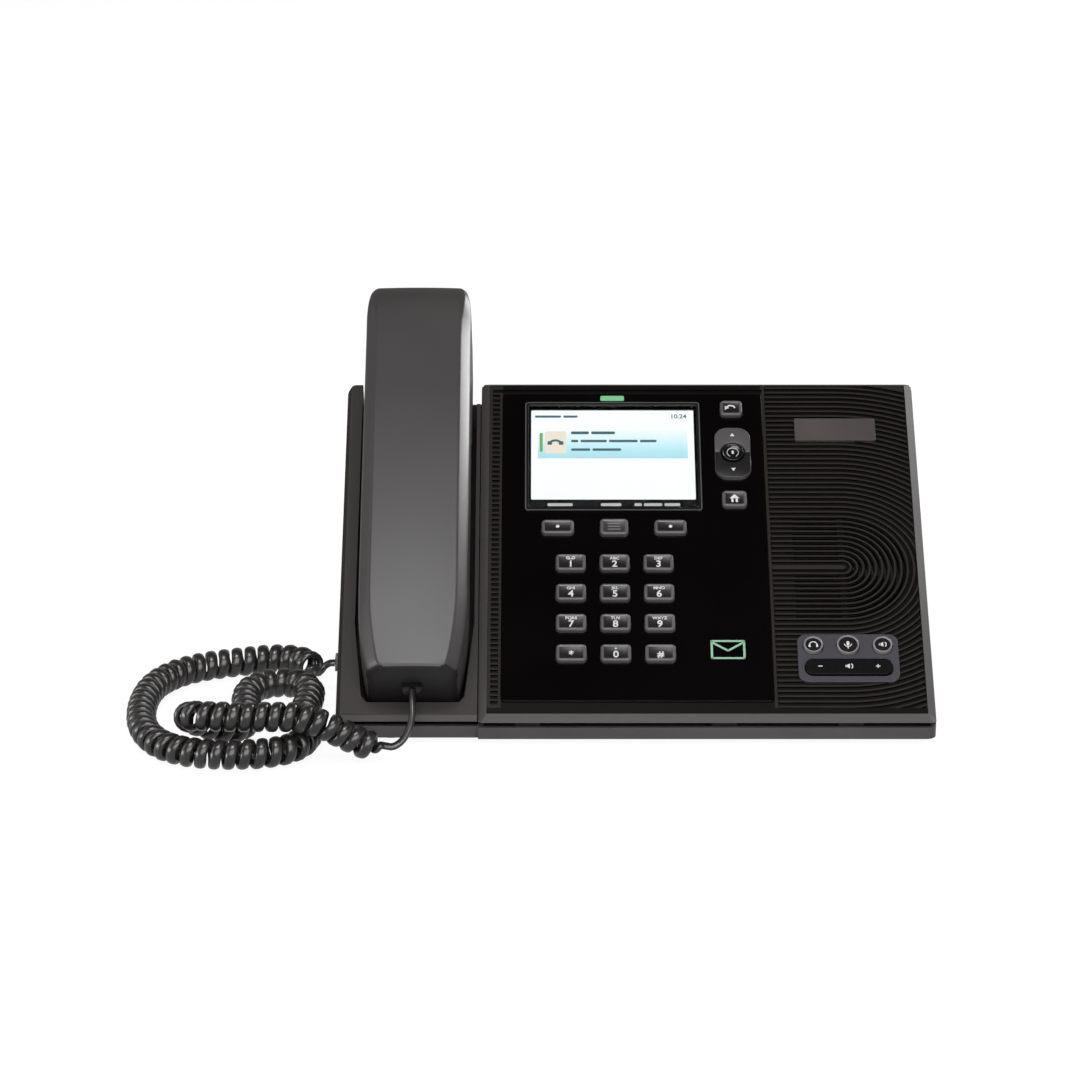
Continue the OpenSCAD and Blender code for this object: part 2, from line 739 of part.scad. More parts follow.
// Cradle: a block on the lower housing with a trough shaped to the handset.
module cradle_side() {
    front = front_y + cradle_setback;
    under_n = cradle_under_n + seam;
    under_z = groove_top - 0.6;
    polygon([
        face_pair(front + 0.4, groove_top), [0.6, -0.6], [face_len - 2.5, -0.6],
        [face_len - 2.5, under_n], [l_at_z(under_n, under_z), under_n], face_pair(front + 2.8, under_z)
    ]);
}

// The lower end of the trough hangs inside the lower housing.
module cradle_bulge() {
    under_n = cradle_under_n + seam;
    polygon([[60, under_n], [14, under_n], [9.2, 1 - cradle_depth], [5, -11], [2.4, -5], [3, -3], [60, -3]]);
}

module trough_side() {
    polygon([
        [trough_l0, 60], [trough_l0, -6], [trough_l0 + 4.8, -cradle_depth + 2],
        [trough_l0 + 8.8, cradle_floor_n], [face_len + 20, cradle_floor_n], [face_len + 20, 60]
    ]);
}

module trough_plan() {
    reach = handset_w / 2 + handset_slack;
    low = half_w(handset_l0 + low_corner_r) + handset_slack;
    translate([handset_x, 0]) polygon([
        [-low + 3, trough_l0 - 1], [low - 3, trough_l0 - 1], [low, trough_l0 + 3],
        [reach, handset_l0 + taper_len], [reach, face_len + 20], [-reach, face_len + 20],
        [-reach, handset_l0 + taper_len], [-low, trough_l0 + 3]
    ]);
}

module cradle_housing() {
    x1 = body_x0 - seam / 2;
    color(dark) on_face() difference() {
        union() {
            along_x(phone_x0 + wall + seam, x1 - eps) cradle_bulge();
            intersection() {
                along_x(phone_x0, x1) cradle_side();
                plate(phone_x0, x1 + corner_r, -10, face_len - 2.5, -40, 1, corner_r);
                along_l(-10, face_len) polygon([
                    [phone_x0, -40], [phone_x0, -2.6], [phone_x0 + 2, -0.6], [x1, -0.6], [x1, -40]
                ]);
            }
            for (x = cradle_screw_x)
                post(x, rear_screw_l - 4, boss_d, -housing_t + 6 + seam, cradle_floor_n - 1);
        }
        intersection() {
            along_x(phone_x0 - 5, body_x0 + 5) trough_side();
            translate([0, 0, -40]) linear_extrude(100) trough_plan();
        }
        post(handset_x, hook_l, hook_d + 2 * clearance, -housing_t, 1);
        for (x = cradle_screw_x) post(x, rear_screw_l - 4, screw_d, -housing_t, cradle_floor_n - 1.4);
        box_between(
            [handset_x + handset_w / 2, face_len - cradle_wall_cut, cradle_floor_n], [body_x0 + 1, face_len + 1, 1]);
        hollow_cradle_walls();
    }
}

// The outer cradle wall is moulded hollow from below.
module hollow_cradle_walls() {
    plate(phone_x0 + wall, phone_x0 + cradle_outer - 1.4, 40, face_len - 8, cradle_under_n - 1, -3, 0.8);
}

module hook_plunger() {
    color(dark) on_face() {
        post(handset_x, hook_l, hook_d, hook_flange_n, hook_rest_n);
        post(handset_x, hook_l, hook_flange_d, hook_flange_n, hook_flange_n + 1);
    }
}

module hook_switch() {
    color("#2d6a4a") on_face() {
        pad(handset_x, hook_l, 16, 14, inner_n, inner_n + 1, 1);
        pad(handset_x, hook_l, 8, 8, inner_n + 1 - eps, hook_flange_n - clearance, 0.8);
    }
}

module faceplate_panel() {
    color(gloss) on_face() difference() {
        plate(panel_x0, panel_x1, panel_l0, panel_l1, panel_under_n, panel_proud, panel_r);
        plate(window_x0 - seam, window_x1 + seam, window_l0 - seam, window_l1 + seam, panel_under_n - 1, 2, 1);
        pad(window_x, light_l, light_w + seam, light_len + seam, panel_under_n - 1, 2, 0.8);
        for (i = [0:11]) key_hole(dial_x(i), dial_y(i), key_w, key_len, key_r);
        for (s = [-1, 1]) key_hole(window_x + s * soft_pitch, soft_l, soft_w, soft_len, key_r);
        key_hole(window_x, soft_l, soft_middle_w, soft_middle_len, key_r);
        key_hole(nav_x, back_l, back_size[0], back_size[1], key_r);
        key_hole(nav_x, home_l, home_size[0], home_size[1], key_r);
        key_hole(nav_x, nav_l, nav_w, nav_len, nav_r);
    }
}

key_r = 1.8;
nav_r = 5.5;
function dial_x(i) = window_x + (i % 3 - 1) * dial_pitch_x;
function dial_y(i) = dial_l + (3 - floor(i / 3)) * dial_pitch_l;

module key_hole(x, l, w, len, r) {
    pad(x, l, w + 2 * clearance, len + 2 * clearance, panel_under_n - 1, 5, r + clearance);
}

// A key: domed cap, retaining flange under the panel and stem over the membrane.
module key(x, l, w, len, r) {
    cap_n = panel_proud + key_proud;
    flange_n = panel_under_n - flange_gap;
    pad(x, l, w, len, flange_n - eps, cap_n - 0.5, r);
    pad(x, l, w - 1.2, len - 1.2, cap_n - 0.5 - eps, cap_n, r - 0.6);
    pad(x, l, w + 2 * flange_w, len + 2 * flange_w, flange_n - flange_t, flange_n, r);
    post(x, l, min(stem_d, len - 2), stem_n, flange_n - flange_t + eps);
}

module dial_key(i) {
    color(mid) on_face() key(dial_x(i), dial_y(i), key_w, key_len, key_r);
}

module soft_key_left() {
    color(mid) on_face() key(window_x - soft_pitch, soft_l, soft_w, soft_len, key_r);
}

module soft_key_middle() {
    color(mid) on_face() key(window_x, soft_l, soft_middle_w, soft_middle_len, key_r);
}

module soft_key_right() {
    color(mid) on_face() key(window_x + soft_pitch, soft_l, soft_w, soft_len, key_r);
}

module back_key() {
    color(mid) on_face() key(nav_x, back_l, back_size[0], back_size[1], key_r);
}

module home_key() {
    color(mid) on_face() key(nav_x, home_l, home_size[0], home_size[1], key_r);
}

// One arched half of the navigation pad, above (1) or below (-1) the select key.
module nav_arch(side) {
    cap_n = panel_proud + key_proud;
    stem_l = nav_l + side * (nav_len / 2 - 3.6);
    difference() {
        pad(nav_x, nav_l, nav_w, nav_len, panel_under_n - 1, cap_n, nav_r);
        post(nav_x, nav_l, select_d + 2 * select_gap, panel_under_n - 2, cap_n + 1);
        translate([nav_x, nav_l - side * nav_len, 0])
            cube([2 * nav_w, 2 * nav_len + 2 * clearance, 40], center = true);
    }
    pad(nav_x, nav_l + side * (nav_len / 2 - 1.5), nav_w - 5, 5, panel_under_n - 2, panel_under_n - flange_gap, 1.2);
    post(nav_x, stem_l, stem_d, stem_n, panel_under_n - 1.5);
}

module nav_up_key() {
    color(mid) on_face() nav_arch(1);
}

module nav_down_key() {
    color(mid) on_face() nav_arch(-1);
}

module select_key() {
    color(mid) on_face() {
        post(nav_x, nav_l, select_d, panel_under_n - 2.4, panel_proud + key_proud + 0.2);
        post(nav_x, nav_l, stem_d, stem_n, panel_under_n);
    }
}

module display_trim() {
    color(mid) on_face() difference() {
        plate(window_x0 - trim_w, window_x1 + trim_w, window_l0 - trim_w, window_l1 + trim_w,
            panel_proud, panel_proud + trim_proud, 1.6);
        plate(window_x0, window_x1, window_l0, window_l1, panel_proud - 1, 3, 0.8);
    }
}

module display_window() {
    color([0.75, 0.8, 0.85, 0.35]) on_face()
        plate(window_x0, window_x1, window_l0, window_l1, panel_proud - window_t, panel_proud, 0.8);
}

module lcd_module() {
    color("#e8eef2") on_face()
        plate(window_x0 + 0.3, window_x1 - 0.3, window_l0 + 0.3, window_l1 - 0.3, board_n, panel_proud - window_t - 0.1, 0.6);
}

module status_light_pipe() {
    color("#7fc79a") on_face() {
        pad(window_x, light_l, light_w, light_len, panel_under_n, panel_proud + 0.4, 0.7);
        pad(window_x, light_l - light_len / 2 + 0.3, 4, 0.6, panel_under_n - 0.5, panel_under_n + 0.5, 0.2);
        post(window_x, light_l - 2.2, 2.4, board_n, panel_under_n - 0.3);
        pad(window_x, light_l - 2.3, 4, 3.4, panel_under_n - 1, panel_under_n, 0.5);
    }
}

// Grooves shaped like a U lying on its side: half rings to the right, straight to the left.
module grille_groove(r, w, n0) {
    translate([ring_x, ring_l, n0]) difference() {
        union() {
            cylinder(r = r + w / 2, h = 10, $fn = 96);
            translate([grille_x0 - ring_x - 10, -r - w / 2, 0]) cube([ring_x - grille_x0 + 10, 2 * r + w, 10]);
        }
        translate([0, 0, -1]) {
            cylinder(r = r - w / 2, h = 12, $fn = 96);
            translate([grille_x0 - ring_x - 20, -r + w / 2, 0]) cube([ring_x - grille_x0 + 20, 2 * r - w, 12]);
        }
    }
}

module ring_slot(r) {
    translate([ring_x, ring_l, -grille_t - 1]) intersection() {
        difference() {
            cylinder(r = r + slot_w / 2, h = grille_t + 2, $fn = 96);
            translate([0, 0, -1]) cylinder(r = r - slot_w / 2, h = grille_t + 4, $fn = 96);
        }
        translate([1, -50, 0]) cube([60, 100, 20]);
    }
}

module speaker_grille() {
    straight_x0 = ring_x - 20;
    color(black) on_face() difference() {
        plate(grille_x0, grille_x1, grille_l0, grille_l1, -grille_t, 0, panel_r);
        for (k = [0:rib_count]) grille_groove((k + 0.75) * rib_pitch, groove_w, -groove_d);
        for (k = [1:ring_slots]) {
            r = (k + 0.75) * rib_pitch;
            ring_slot(r);
            for (s = [-1, 1]) box_between(
                [straight_x0, ring_l + s * r - slot_w / 2, -grille_t - 1], [ring_x - 1.5, ring_l + s * r + slot_w / 2, 1]);
        }
        pad(ring_x, audio_l, audio_w + seam, audio_len + seam, plate_proud - plate_t, 2, 4);
        pad(ring_x, audio_l, audio_w - 2 * plate_ledge, audio_len - 2 * plate_ledge, -grille_t - 1, 2, 2.5);
        pad(ring_x, badge_l, badge_w + seam, badge_len + seam, -1.2, 2, 1);
    }
}

// Basket, cone and magnet turned as one profile about the speaker's axis.
module loudspeaker() {
    rim = speaker_d / 2;
    magnet = magnet_d / 2;
    color(mid) on_face() translate([ring_x, ring_l, 0]) rotate_extrude()
        polygon([
            [0, magnet_n], [magnet, magnet_n], [magnet, cover_n - 6.4], [rim - 3, cover_n - 2.2],
            [rim, cover_n - 2.2], [rim, cover_n], [rim - 4, cover_n], [4, cover_n - 3], [0, cover_n - 1.6]
        ]);
}

// Plate round the audio keys, with two ears under it that carry the rocker's pin.
module audio_key_plate() {
    ear_gap = 0.4;
    ear_t = 1.2;
    color("#4d4b50") on_face() difference() {
        union() {
            pad(ring_x, audio_l, audio_w, audio_len, plate_proud - plate_t, plate_proud, 4);
            for (s = [-1, 1])
                pad(ring_x, rocker_l + s * (rocker_len / 2 + ear_gap + ear_t / 2), 5, ear_t,
                    rocker_pin_n - 1.8, plate_proud - plate_t + eps, 0.2);
        }
        translate([ring_x, rocker_l, rocker_pin_n]) rotate([90, 0, 0])
            cylinder(d = rocker_pin_d + 0.1, h = 2 * rocker_len, center = true);
        for (s = [-1, 1]) post(ring_x + s * audio_pitch, audio_l + audio_row, round_d + 2 * clearance, -9, 3);
        post(ring_x, audio_l + audio_row, mute_d + 2 * clearance, -9, 3);
        pad(ring_x, rocker_l, rocker_w + 2 * clearance, rocker_len + 2 * clearance, -9, 3, rocker_len / 2 - 0.2);
    }
}

// A round key: cap with a raised rim, flange under the plate and stem.
module round_key(x, d) {
    top = plate_proud + key_proud;
    under = plate_proud - plate_t;
    color("#8a868a") on_face() {
        difference() {
            post(x, audio_l + audio_row, d, under - flange_gap - eps, top);
            post(x, audio_l + audio_row, d - 2.2, top - 0.5, top + 1);
        }
        post(x, audio_l + audio_row, d + 1.2, under - flange_gap - 1.2, under - flange_gap);
        post(x, audio_l + audio_row, stem_d, stem_n, under - flange_gap - 1);
    }
}

module headset_key() {
    round_key(ring_x - audio_pitch, round_d);
}

module mute_key() {
    round_key(ring_x, mute_d);
}

module speaker_key() {
    round_key(ring_x + audio_pitch, round_d);
}

// The rocker turns on a pin across its middle, under the plate.
module volume_rocker() {
    top = plate_proud + 1.2;
    color(black) on_face() {
        pad(ring_x, rocker_l, rocker_w, rocker_len, rocker_pin_n, top, rocker_len / 2 - 0.6);
        translate([ring_x, rocker_l, rocker_pin_n]) rotate([90, 0, 0])
            cylinder(d = rocker_pin_d, h = rocker_len + 2.8, center = true);
        for (s = [-1, 1]) post(ring_x + s * (rocker_w / 2 - 5), rocker_l, 3.4, stem_n, rocker_pin_n + eps);
    }
}

module badge_plate() {
    color("#4b4646") on_face() pad(ring_x, badge_l, badge_w, badge_len, -1.2, 0.5, 0.8);
}

// Silicone sheet with one pad under each key, with a gap for the display.
module key_membrane() {
    x0 = panel_x0 + panel_ledge + 1;
    x1 = panel_x1 - panel_ledge - 1;
    color("#9aa0a6") on_face() {
        difference() {
            plate(x0, x1, panel_l0 + 12, panel_l1 - panel_ledge - 2, board_n, membrane_n, 2);
            plate(window_x0 - 1, window_x1 + 1, window_l0 - 1, panel_l1, board_n - 1, membrane_n + 1, 1);
        }
        for (i = [0:11]) membrane_pad(dial_x(i), dial_y(i));
        for (i = [-1:1]) membrane_pad(window_x + i * soft_pitch, soft_l);
        for (l = [back_l, home_l, nav_l, nav_l + nav_len / 2 - 3.6, nav_l - nav_len / 2 + 3.6]) membrane_pad(nav_x, l);
        difference() {
            pad(ring_x, audio_l, audio_w - 4, audio_len - 4, board_n, membrane_n, 2);
            post(ring_x, ring_l, speaker_d + 1, board_n - 1, membrane_n + 1);
        }
        for (i = [-1:1]) membrane_pad(ring_x + i * audio_pitch, audio_l + audio_row);
        for (s = [-1, 1]) membrane_pad(ring_x + s * (rocker_w / 2 - 5), rocker_l);
    }
}

module membrane_pad(x, l) {
    translate([x, l, membrane_n - eps]) cylinder(d1 = 6.4, d2 = 4.2, h = pad_t + eps);
}

module main_board() {
    color("#1f5a3a") on_face() {
        difference() {
            plate(board_x0, board_x1, board_l0, board_l1, board_under_n, board_n, 2);
            post(ring_x, ring_l, magnet_d + 3, board_under_n - 1, board_n + 1);
        }
        pad(window_x, soft_l - soft_pitch, chip, chip, board_under_n - chip_t, board_under_n + eps, 0.4);
        pad(window_x - soft_pitch, soft_l, chip / 2, chip / 2, board_under_n - chip_t, board_under_n + eps, 0.4);
        pad(nav_x, soft_l, chip / 2, chip / 2, board_under_n - chip_t, board_under_n + eps, 0.4);
        for (i = [-1, 0, 1])
            post(nav_x + i * (can_d + 2), soft_l - soft_pitch, can_d, board_under_n - can_d, board_under_n + eps);
    }
}

module connector_board() {
    color("#1f5a3a") box_between(
        [headset_x - io_board_side, wall_y - io_board_len, io_board_z],
        [pc_x + io_board_side, wall_y - wall - 0.5, io_z]);
}

// A shielded network socket with its keyed opening toward the rear.
module rj45_jack(x) {
    opening = [11.8, 8];
    color("silver") difference() {
        box_between([x - rj45_w / 2, wall_y - rj45_depth, io_z], [x + rj45_w / 2, wall_y + 0.4, io_z + rj45_h]);
        box_between([x - opening[0] / 2, wall_y - 14, io_z + 3.4], [x + opening[0] / 2, wall_y + 1, io_z + 3.4 + opening[1]]);
        box_between([x - 3.1, wall_y - 14, io_z + 1.5], [x + 3.1, wall_y + 1, io_z + 4]);
    }
}

module lan_jack() {
    rj45_jack(lan_x);
}

module pc_jack() {
    rj45_jack(pc_x);
}

module headset_jack() {
    color(dark) translate([headset_x, wall_y + 0.4, io_z + rj9_h / 2]) rotate([0, 0, 180])
        rj9_block(rj9_w, 16, rj9_h);
}

// Stand: a flange on the housing's underside, a rear leg with a cable opening,
// side gussets and a foot bar.
module stand() {
    n0 = -housing_t - stand_t;
    top = [side_y(stand_l1, -housing_t), side_z(stand_l1, -housing_t)];
    front = [side_y(stand_l0, -housing_t), side_z(stand_l0, -housing_t)];
    inner_top = [side_y(stand_l1 - stand_t, n0), side_z(stand_l1 - stand_t, n0)];
    inner_front = [side_y(stand_l0, n0), side_z(stand_l0, n0)];
    foot_in = stand_y - stand_foot;
    color(dark) difference() {
        union() {
            along_x(-stand_half, stand_half) polygon([
                front, top, [stand_y, foot_h + stand_t], [stand_y, foot_h], [foot_in, foot_h],
                [foot_in, foot_h + stand_t], [stand_y - stand_t, foot_h + stand_t], inner_top, inner_front
            ]);
            for (s = [-1, 1]) along_x(s * (stand_half - stand_t / 2) - stand_t / 2, s * (stand_half - stand_t / 2) + stand_t / 2)
                polygon([front, top, [stand_y, foot_h + stand_t], [stand_y, foot_h], [foot_in, foot_h]]);
        }
        translate([0, stand_y, foot_h + 22]) rotate([90, 0, 0])
            linear_extrude(60, center = true) rounded_rect(cable_w, cable_h, 6);
        on_face() for (s = [-1, 1]) post(s * stand_screw_x, stand_screw_l, screw_d + 0.7, n0 - 1, -housing_t + 1);
    }
}

module rubber_feet() {
    color("#202020") {
        for (s = [-1, 1]) {
            translate([s * front_foot_x, front_foot_y, 0]) cylinder(d = foot_d, h = foot_h);
            translate([s * rear_foot_x, stand_y - stand_foot / 2, 0]) cylinder(d = foot_d, h = foot_h);
        }
    }
}

module face_screw(x, l, head_n, reach) {
    post(x, l, screw_head_d, head_n - screw_head_h, head_n);
    post(x, l, screw_d, head_n - eps, head_n + reach);
}

module housing_screws() {
    seat = -housing_t + well_depth;
    color("silver") on_face() {
        for (x = rear_screw_x) face_screw(x, rear_screw_l, seat, 10);
        for (x = cradle_screw_x) face_screw(x, rear_screw_l - 4, seat, cradle_screw_len);
        for (s = [-1, 1]) face_screw(s * stand_screw_x, stand_screw_l, -housing_t - stand_t, 8);
    }
}

// Sweeps a round tube along a route: one ring square to the path at each point.
function unit(v) = v / norm(v);
function tangent(p, i) = unit(p[min(i + 1, len(p) - 1)] - p[max(i - 1, 0)]);
function ring(p, i, r, sides) =
    let (t = tangent(p, i), across = unit(cross(t, [0, 0, 1])), up = cross(across, t))
    [for (k = [0:sides - 1]) p[i] + r * (cos(360 * k / sides) * across + sin(360 * k / sides) * up)];

module sweep(route, r, sides) {
    path = [for (p = route) [p[0], p[1] + front_y, p[2]]];
    last = len(path) - 1;
    points = [for (i = [0:last]) each ring(path, i, r, sides)];
    walls = [for (i = [0:last - 1], k = [0:sides - 1])
        let (a = i * sides + k, b = i * sides + (k + 1) % sides)
        each [[a, b, b + sides], [a, b + sides, a + sides]]];
    caps = [[for (k = [sides - 1:-1:0]) k], [for (k = [0:sides - 1]) last * sides + k]];
    polyhedron(points, concat(walls, caps), convexity = 8);
}

module cord_coil() {
    color("#191514") sweep(coil_route, coil_d / 2, 12);
}

module cord_lead_base() {
    color("#191514") sweep(base_lead_route, lead_d / 2, 8);
}

module cord_lead_handset() {
    color("#191514") sweep(handset_lead_route, lead_d / 2, 8);
}

base_housing();
front_cover();
cradle_housing();
faceplate_panel();
display_trim();
display_window();
lcd_module();
status_light_pipe();
speaker_grille();
loudspeaker();
audio_key_plate();
badge_plate();
headset_key();
mute_key();
speaker_key();
volume_rocker();
soft_key_left();
soft_key_middle();
soft_key_right();
back_key();
home_key();
nav_up_key();
nav_down_key();
select_key();
key_membrane();
main_board();
connector_board();
lan_jack();
pc_jack();
headset_jack();
base_handset_jack();
stand();
rubber_feet();
housing_screws();
hook_plunger();
hook_switch();
handset_outer_shell();
handset_inner_shell();
earpiece_receiver();
handset_microphone();
handset_jack();
handset_screws();
handset_plug();
base_plug();
cord_coil();
cord_lead_base();
cord_lead_handset();
for (i = [0:11]) dial_key(i);
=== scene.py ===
import json
import math
import bpy
import bmesh
from mathutils import Matrix, Vector


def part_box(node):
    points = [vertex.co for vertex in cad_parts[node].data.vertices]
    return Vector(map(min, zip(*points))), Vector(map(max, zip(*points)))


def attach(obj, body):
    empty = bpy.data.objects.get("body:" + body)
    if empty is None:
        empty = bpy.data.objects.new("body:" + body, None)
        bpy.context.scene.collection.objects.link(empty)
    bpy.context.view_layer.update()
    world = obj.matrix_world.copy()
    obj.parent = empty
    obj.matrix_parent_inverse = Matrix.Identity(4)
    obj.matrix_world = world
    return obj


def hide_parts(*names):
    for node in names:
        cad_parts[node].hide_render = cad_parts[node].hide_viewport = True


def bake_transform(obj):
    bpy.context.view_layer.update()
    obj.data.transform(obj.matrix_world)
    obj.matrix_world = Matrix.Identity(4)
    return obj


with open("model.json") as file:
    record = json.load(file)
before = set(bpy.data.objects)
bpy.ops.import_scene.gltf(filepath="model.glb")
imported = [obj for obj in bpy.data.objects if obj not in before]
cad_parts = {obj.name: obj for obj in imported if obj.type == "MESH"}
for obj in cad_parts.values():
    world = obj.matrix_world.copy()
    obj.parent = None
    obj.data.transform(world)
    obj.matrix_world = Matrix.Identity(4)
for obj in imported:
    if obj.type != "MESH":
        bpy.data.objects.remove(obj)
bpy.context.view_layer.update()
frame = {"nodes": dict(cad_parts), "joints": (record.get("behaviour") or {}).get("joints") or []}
nodes = frame["nodes"]
print("frame loaded:", len(nodes), "nodes")

mm = 0.001

# Face coordinates: x across, l up the slope, n outward. The normal is the way the handset lifts.
face = {"setback": 2 * mm, "height": 12.5 * mm}
liftJoint = next(j for j in frame["joints"] if j["name"] == "handset_lift")
normal = Vector(liftJoint["axis"]).normalized()
slope = normal.cross(Vector((1, 0, 0)))
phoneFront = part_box("base_housing")[0].y
faceOrigin = Vector((0, phoneFront + face["setback"], face["height"]))
faceMatrix = Matrix.Translation(faceOrigin) @ Matrix((Vector((1, 0, 0)), slope, normal)).transposed().to_4x4()
faceInverse = faceMatrix.inverted()


def faceBox(node):
    # a node's lowest and highest face coordinates
    points = [faceInverse @ v.co for v in nodes[node].data.vertices]
    low = Vector([min(p[i] for p in points) for i in range(3)])
    high = Vector([max(p[i] for p in points) for i in range(3)])
    return low, high


# camera, floor and light

view = {"lens": 133.33, "tilt": 20.5, "x": -38.3 * mm, "back": 1467.7 * mm, "height": 636.1 * mm}


def makeCamera():
    data = bpy.data.cameras.new("camera")
    data.lens = view["lens"]
    data.sensor_width = 36
    data.clip_end = 50
    camera = bpy.data.objects.new("camera", data)
    camera.location = (view["x"], phoneFront - view["back"], view["height"])
    camera.rotation_euler = (math.radians(90 - view["tilt"]), 0, 0)
    bpy.context.scene.collection.objects.link(camera)
    bpy.context.scene.camera = camera


studio = {
    "diffuseLevel": 0.42, "zenith": 0.05, "horizon": 0.5, "fadeFrom": 0.30, "fadeTo": 0.85,
    "leftWall": 0.25, "leftFrom": -0.6, "leftTo": 0.2,
    "floorSize": 14, "floorPaint": 0.86, "floorRough": 0.7,
    "floorGlow": 0.85, "floorStrength": 1.08, "floorMirrored": 0.42,
}


def feed(tree, values, node):
    # each value is a plain number or the socket that gives it
    for value, socket in zip(values, node.inputs):
        if isinstance(value, bpy.types.NodeSocket):
            tree.links.new(value, socket)
        else:
            socket.default_value = value
    return node.outputs[0]


def mathNode(tree, operation, *values):
    node = tree.nodes.new("ShaderNodeMath")
    node.operation = operation
    return feed(tree, values, node)


def mixShaders(tree, share, first, second):
    return feed(tree, (share, first, second), tree.nodes.new("ShaderNodeMixShader"))


def rangeNode(tree, source, ends, kind="LINEAR"):
    # ends: the limits that differ from 0 and 1
    node = tree.nodes.new("ShaderNodeMapRange")
    node.interpolation_type = kind
    for end, value in ends.items():
        node.inputs[end].default_value = value
    tree.links.new(source, node.inputs["Value"])
    return node.outputs[0]


def asSeen(tree, lit, white, mirrored):
    # plain white when seen directly or through glass, and its own level in glossy pieces
    rays = tree.nodes.new("ShaderNodeLightPath")
    direct = mathNode(tree, "MAXIMUM", rays.outputs["Is Camera Ray"], rays.outputs["Is Transmission Ray"])
    seen = mixShaders(tree, direct, lit, white)
    return mixShaders(tree, rays.outputs["Is Glossy Ray"], seen, mirrored)


def makeWorld():
    s = studio
    world = bpy.data.worlds.new("studio")
    bpy.context.scene.world = world
    world.use_nodes = True
    tree = world.node_tree
    tree.nodes.clear()
    white, soft, room = (tree.nodes.new("ShaderNodeBackground") for _ in range(3))
    white.inputs["Strength"].default_value = 1
    soft.inputs["Strength"].default_value = s["diffuseLevel"]
    # glossy rays see pale walls under a dark ceiling, darker on the left
    direction = tree.nodes.new("ShaderNodeTexCoord")
    parts = tree.nodes.new("ShaderNodeSeparateXYZ")
    tree.links.new(direction.outputs["Generated"], parts.inputs[0])
    fade = rangeNode(tree, parts.outputs["Z"], {
        "From Min": s["fadeFrom"], "From Max": s["fadeTo"], "To Min": s["horizon"], "To Max": s["zenith"],
    }, "SMOOTHSTEP")
    across = rangeNode(tree, parts.outputs["X"], {
        "From Min": s["leftFrom"], "From Max": s["leftTo"], "To Min": s["leftWall"],
    })
    tree.links.new(mathNode(tree, "MULTIPLY", fade, across), room.inputs["Strength"])
    out = tree.nodes.new("ShaderNodeOutputWorld")
    seen = asSeen(tree, soft.outputs[0], white.outputs[0], room.outputs[0])
    tree.links.new(seen, out.inputs["Surface"])


def makeFloor():
    s = studio
    bm = bmesh.new()
    bmesh.ops.create_grid(bm, x_segments=1, y_segments=1, size=s["floorSize"] / 2)
    mesh = bpy.data.meshes.new("floor")
    bm.to_mesh(mesh)
    bm.free()
    floor = bpy.data.objects.new("floor", mesh)
    bpy.context.scene.collection.objects.link(floor)
    paint = bpy.data.materials.new("floorPaint")
    paint.use_nodes = True
    tree = paint.node_tree
    shader = tree.nodes["Principled BSDF"]
    shader.inputs["Base Color"].default_value = (*[s["floorPaint"]] * 3, 1)
    shader.inputs["Roughness"].default_value = s["floorRough"]
    glow, mirrored = (tree.nodes.new("ShaderNodeEmission") for _ in range(2))
    glow.inputs["Strength"].default_value = s["floorStrength"]
    mirrored.inputs["Strength"].default_value = s["floorMirrored"]
    white = mixShaders(tree, s["floorGlow"], shader.outputs[0], glow.outputs[0])
    seen = asSeen(tree, shader.outputs[0], white, mirrored.outputs[0])
    tree.links.new(seen, tree.nodes["Material Output"].inputs["Surface"])
    mesh.materials.append(paint)


lamps = {
    "front": {"at": (0.25, -1.7, 1.25), "size": (2.4, 1.3), "power": 30, "target": (0, 0, 0.03)},
    "sheen": {"at": (-0.11, -0.31, 1.05), "size": (0.5, 0.26), "power": 3.9, "target": (-0.09, -0.05, 0)},
    "flankLight": {"at": (0.86, 0.84, 0.47), "size": (0.36, 0.7), "power": 12, "target": (-0.08, 0.03, 0.1)},
    "leftStrip": {"at": (-1.1, 0.1, 0.5), "size": (0.5, 1.0), "power": 1.5, "target": (-0.08, 0, 0.06)},
    "leftLow": {"at": (-0.95, -0.3, 0.14), "size": (0.6, 0.22), "power": 2.6, "target": (-0.16, -0.04, 0.03)},
}


def makeLamps():
    for name, s in lamps.items():
        data = bpy.data.lights.new(name, "AREA")
        data.shape = "RECTANGLE"
        data.size, data.size_y = s["size"]
        data.energy = s["power"]
        lamp = bpy.data.objects.new(name, data)
        lamp.location = s["at"]
        aim = Vector(s["target"]) - Vector(s["at"])
        lamp.rotation_euler = aim.to_track_quat("-Z", "Y").to_euler()
        bpy.context.scene.collection.objects.link(lamp)


bpy.context.scene.view_settings.view_transform = "Standard"
makeCamera()
makeWorld()
makeFloor()
makeLamps()
print("camera, floor and lamps placed")

# materials


def newMaterial(name):
    material = bpy.data.materials.new(name)
    material.use_nodes = True
    return material, material.node_tree, material.node_tree.nodes["Principled BSDF"]


def noiseNode(tree, scale, detail, stretch=None):
    # noise on object coordinates, stretched along an axis when asked
    place = tree.nodes.new("ShaderNodeTexCoord")
    noise = tree.nodes.new("ShaderNodeTexNoise")
    noise.inputs["Scale"].default_value = scale
    noise.inputs["Detail"].default_value = detail
    if stretch:
        mapping = tree.nodes.new("ShaderNodeMapping")
        mapping.inputs["Scale"].default_value = stretch
        tree.links.new(place.outputs["Object"], mapping.inputs["Vector"])
        tree.links.new(mapping.outputs[0], noise.inputs["Vector"])
    else:
        tree.links.new(place.outputs["Object"], noise.inputs["Vector"])
    return noise


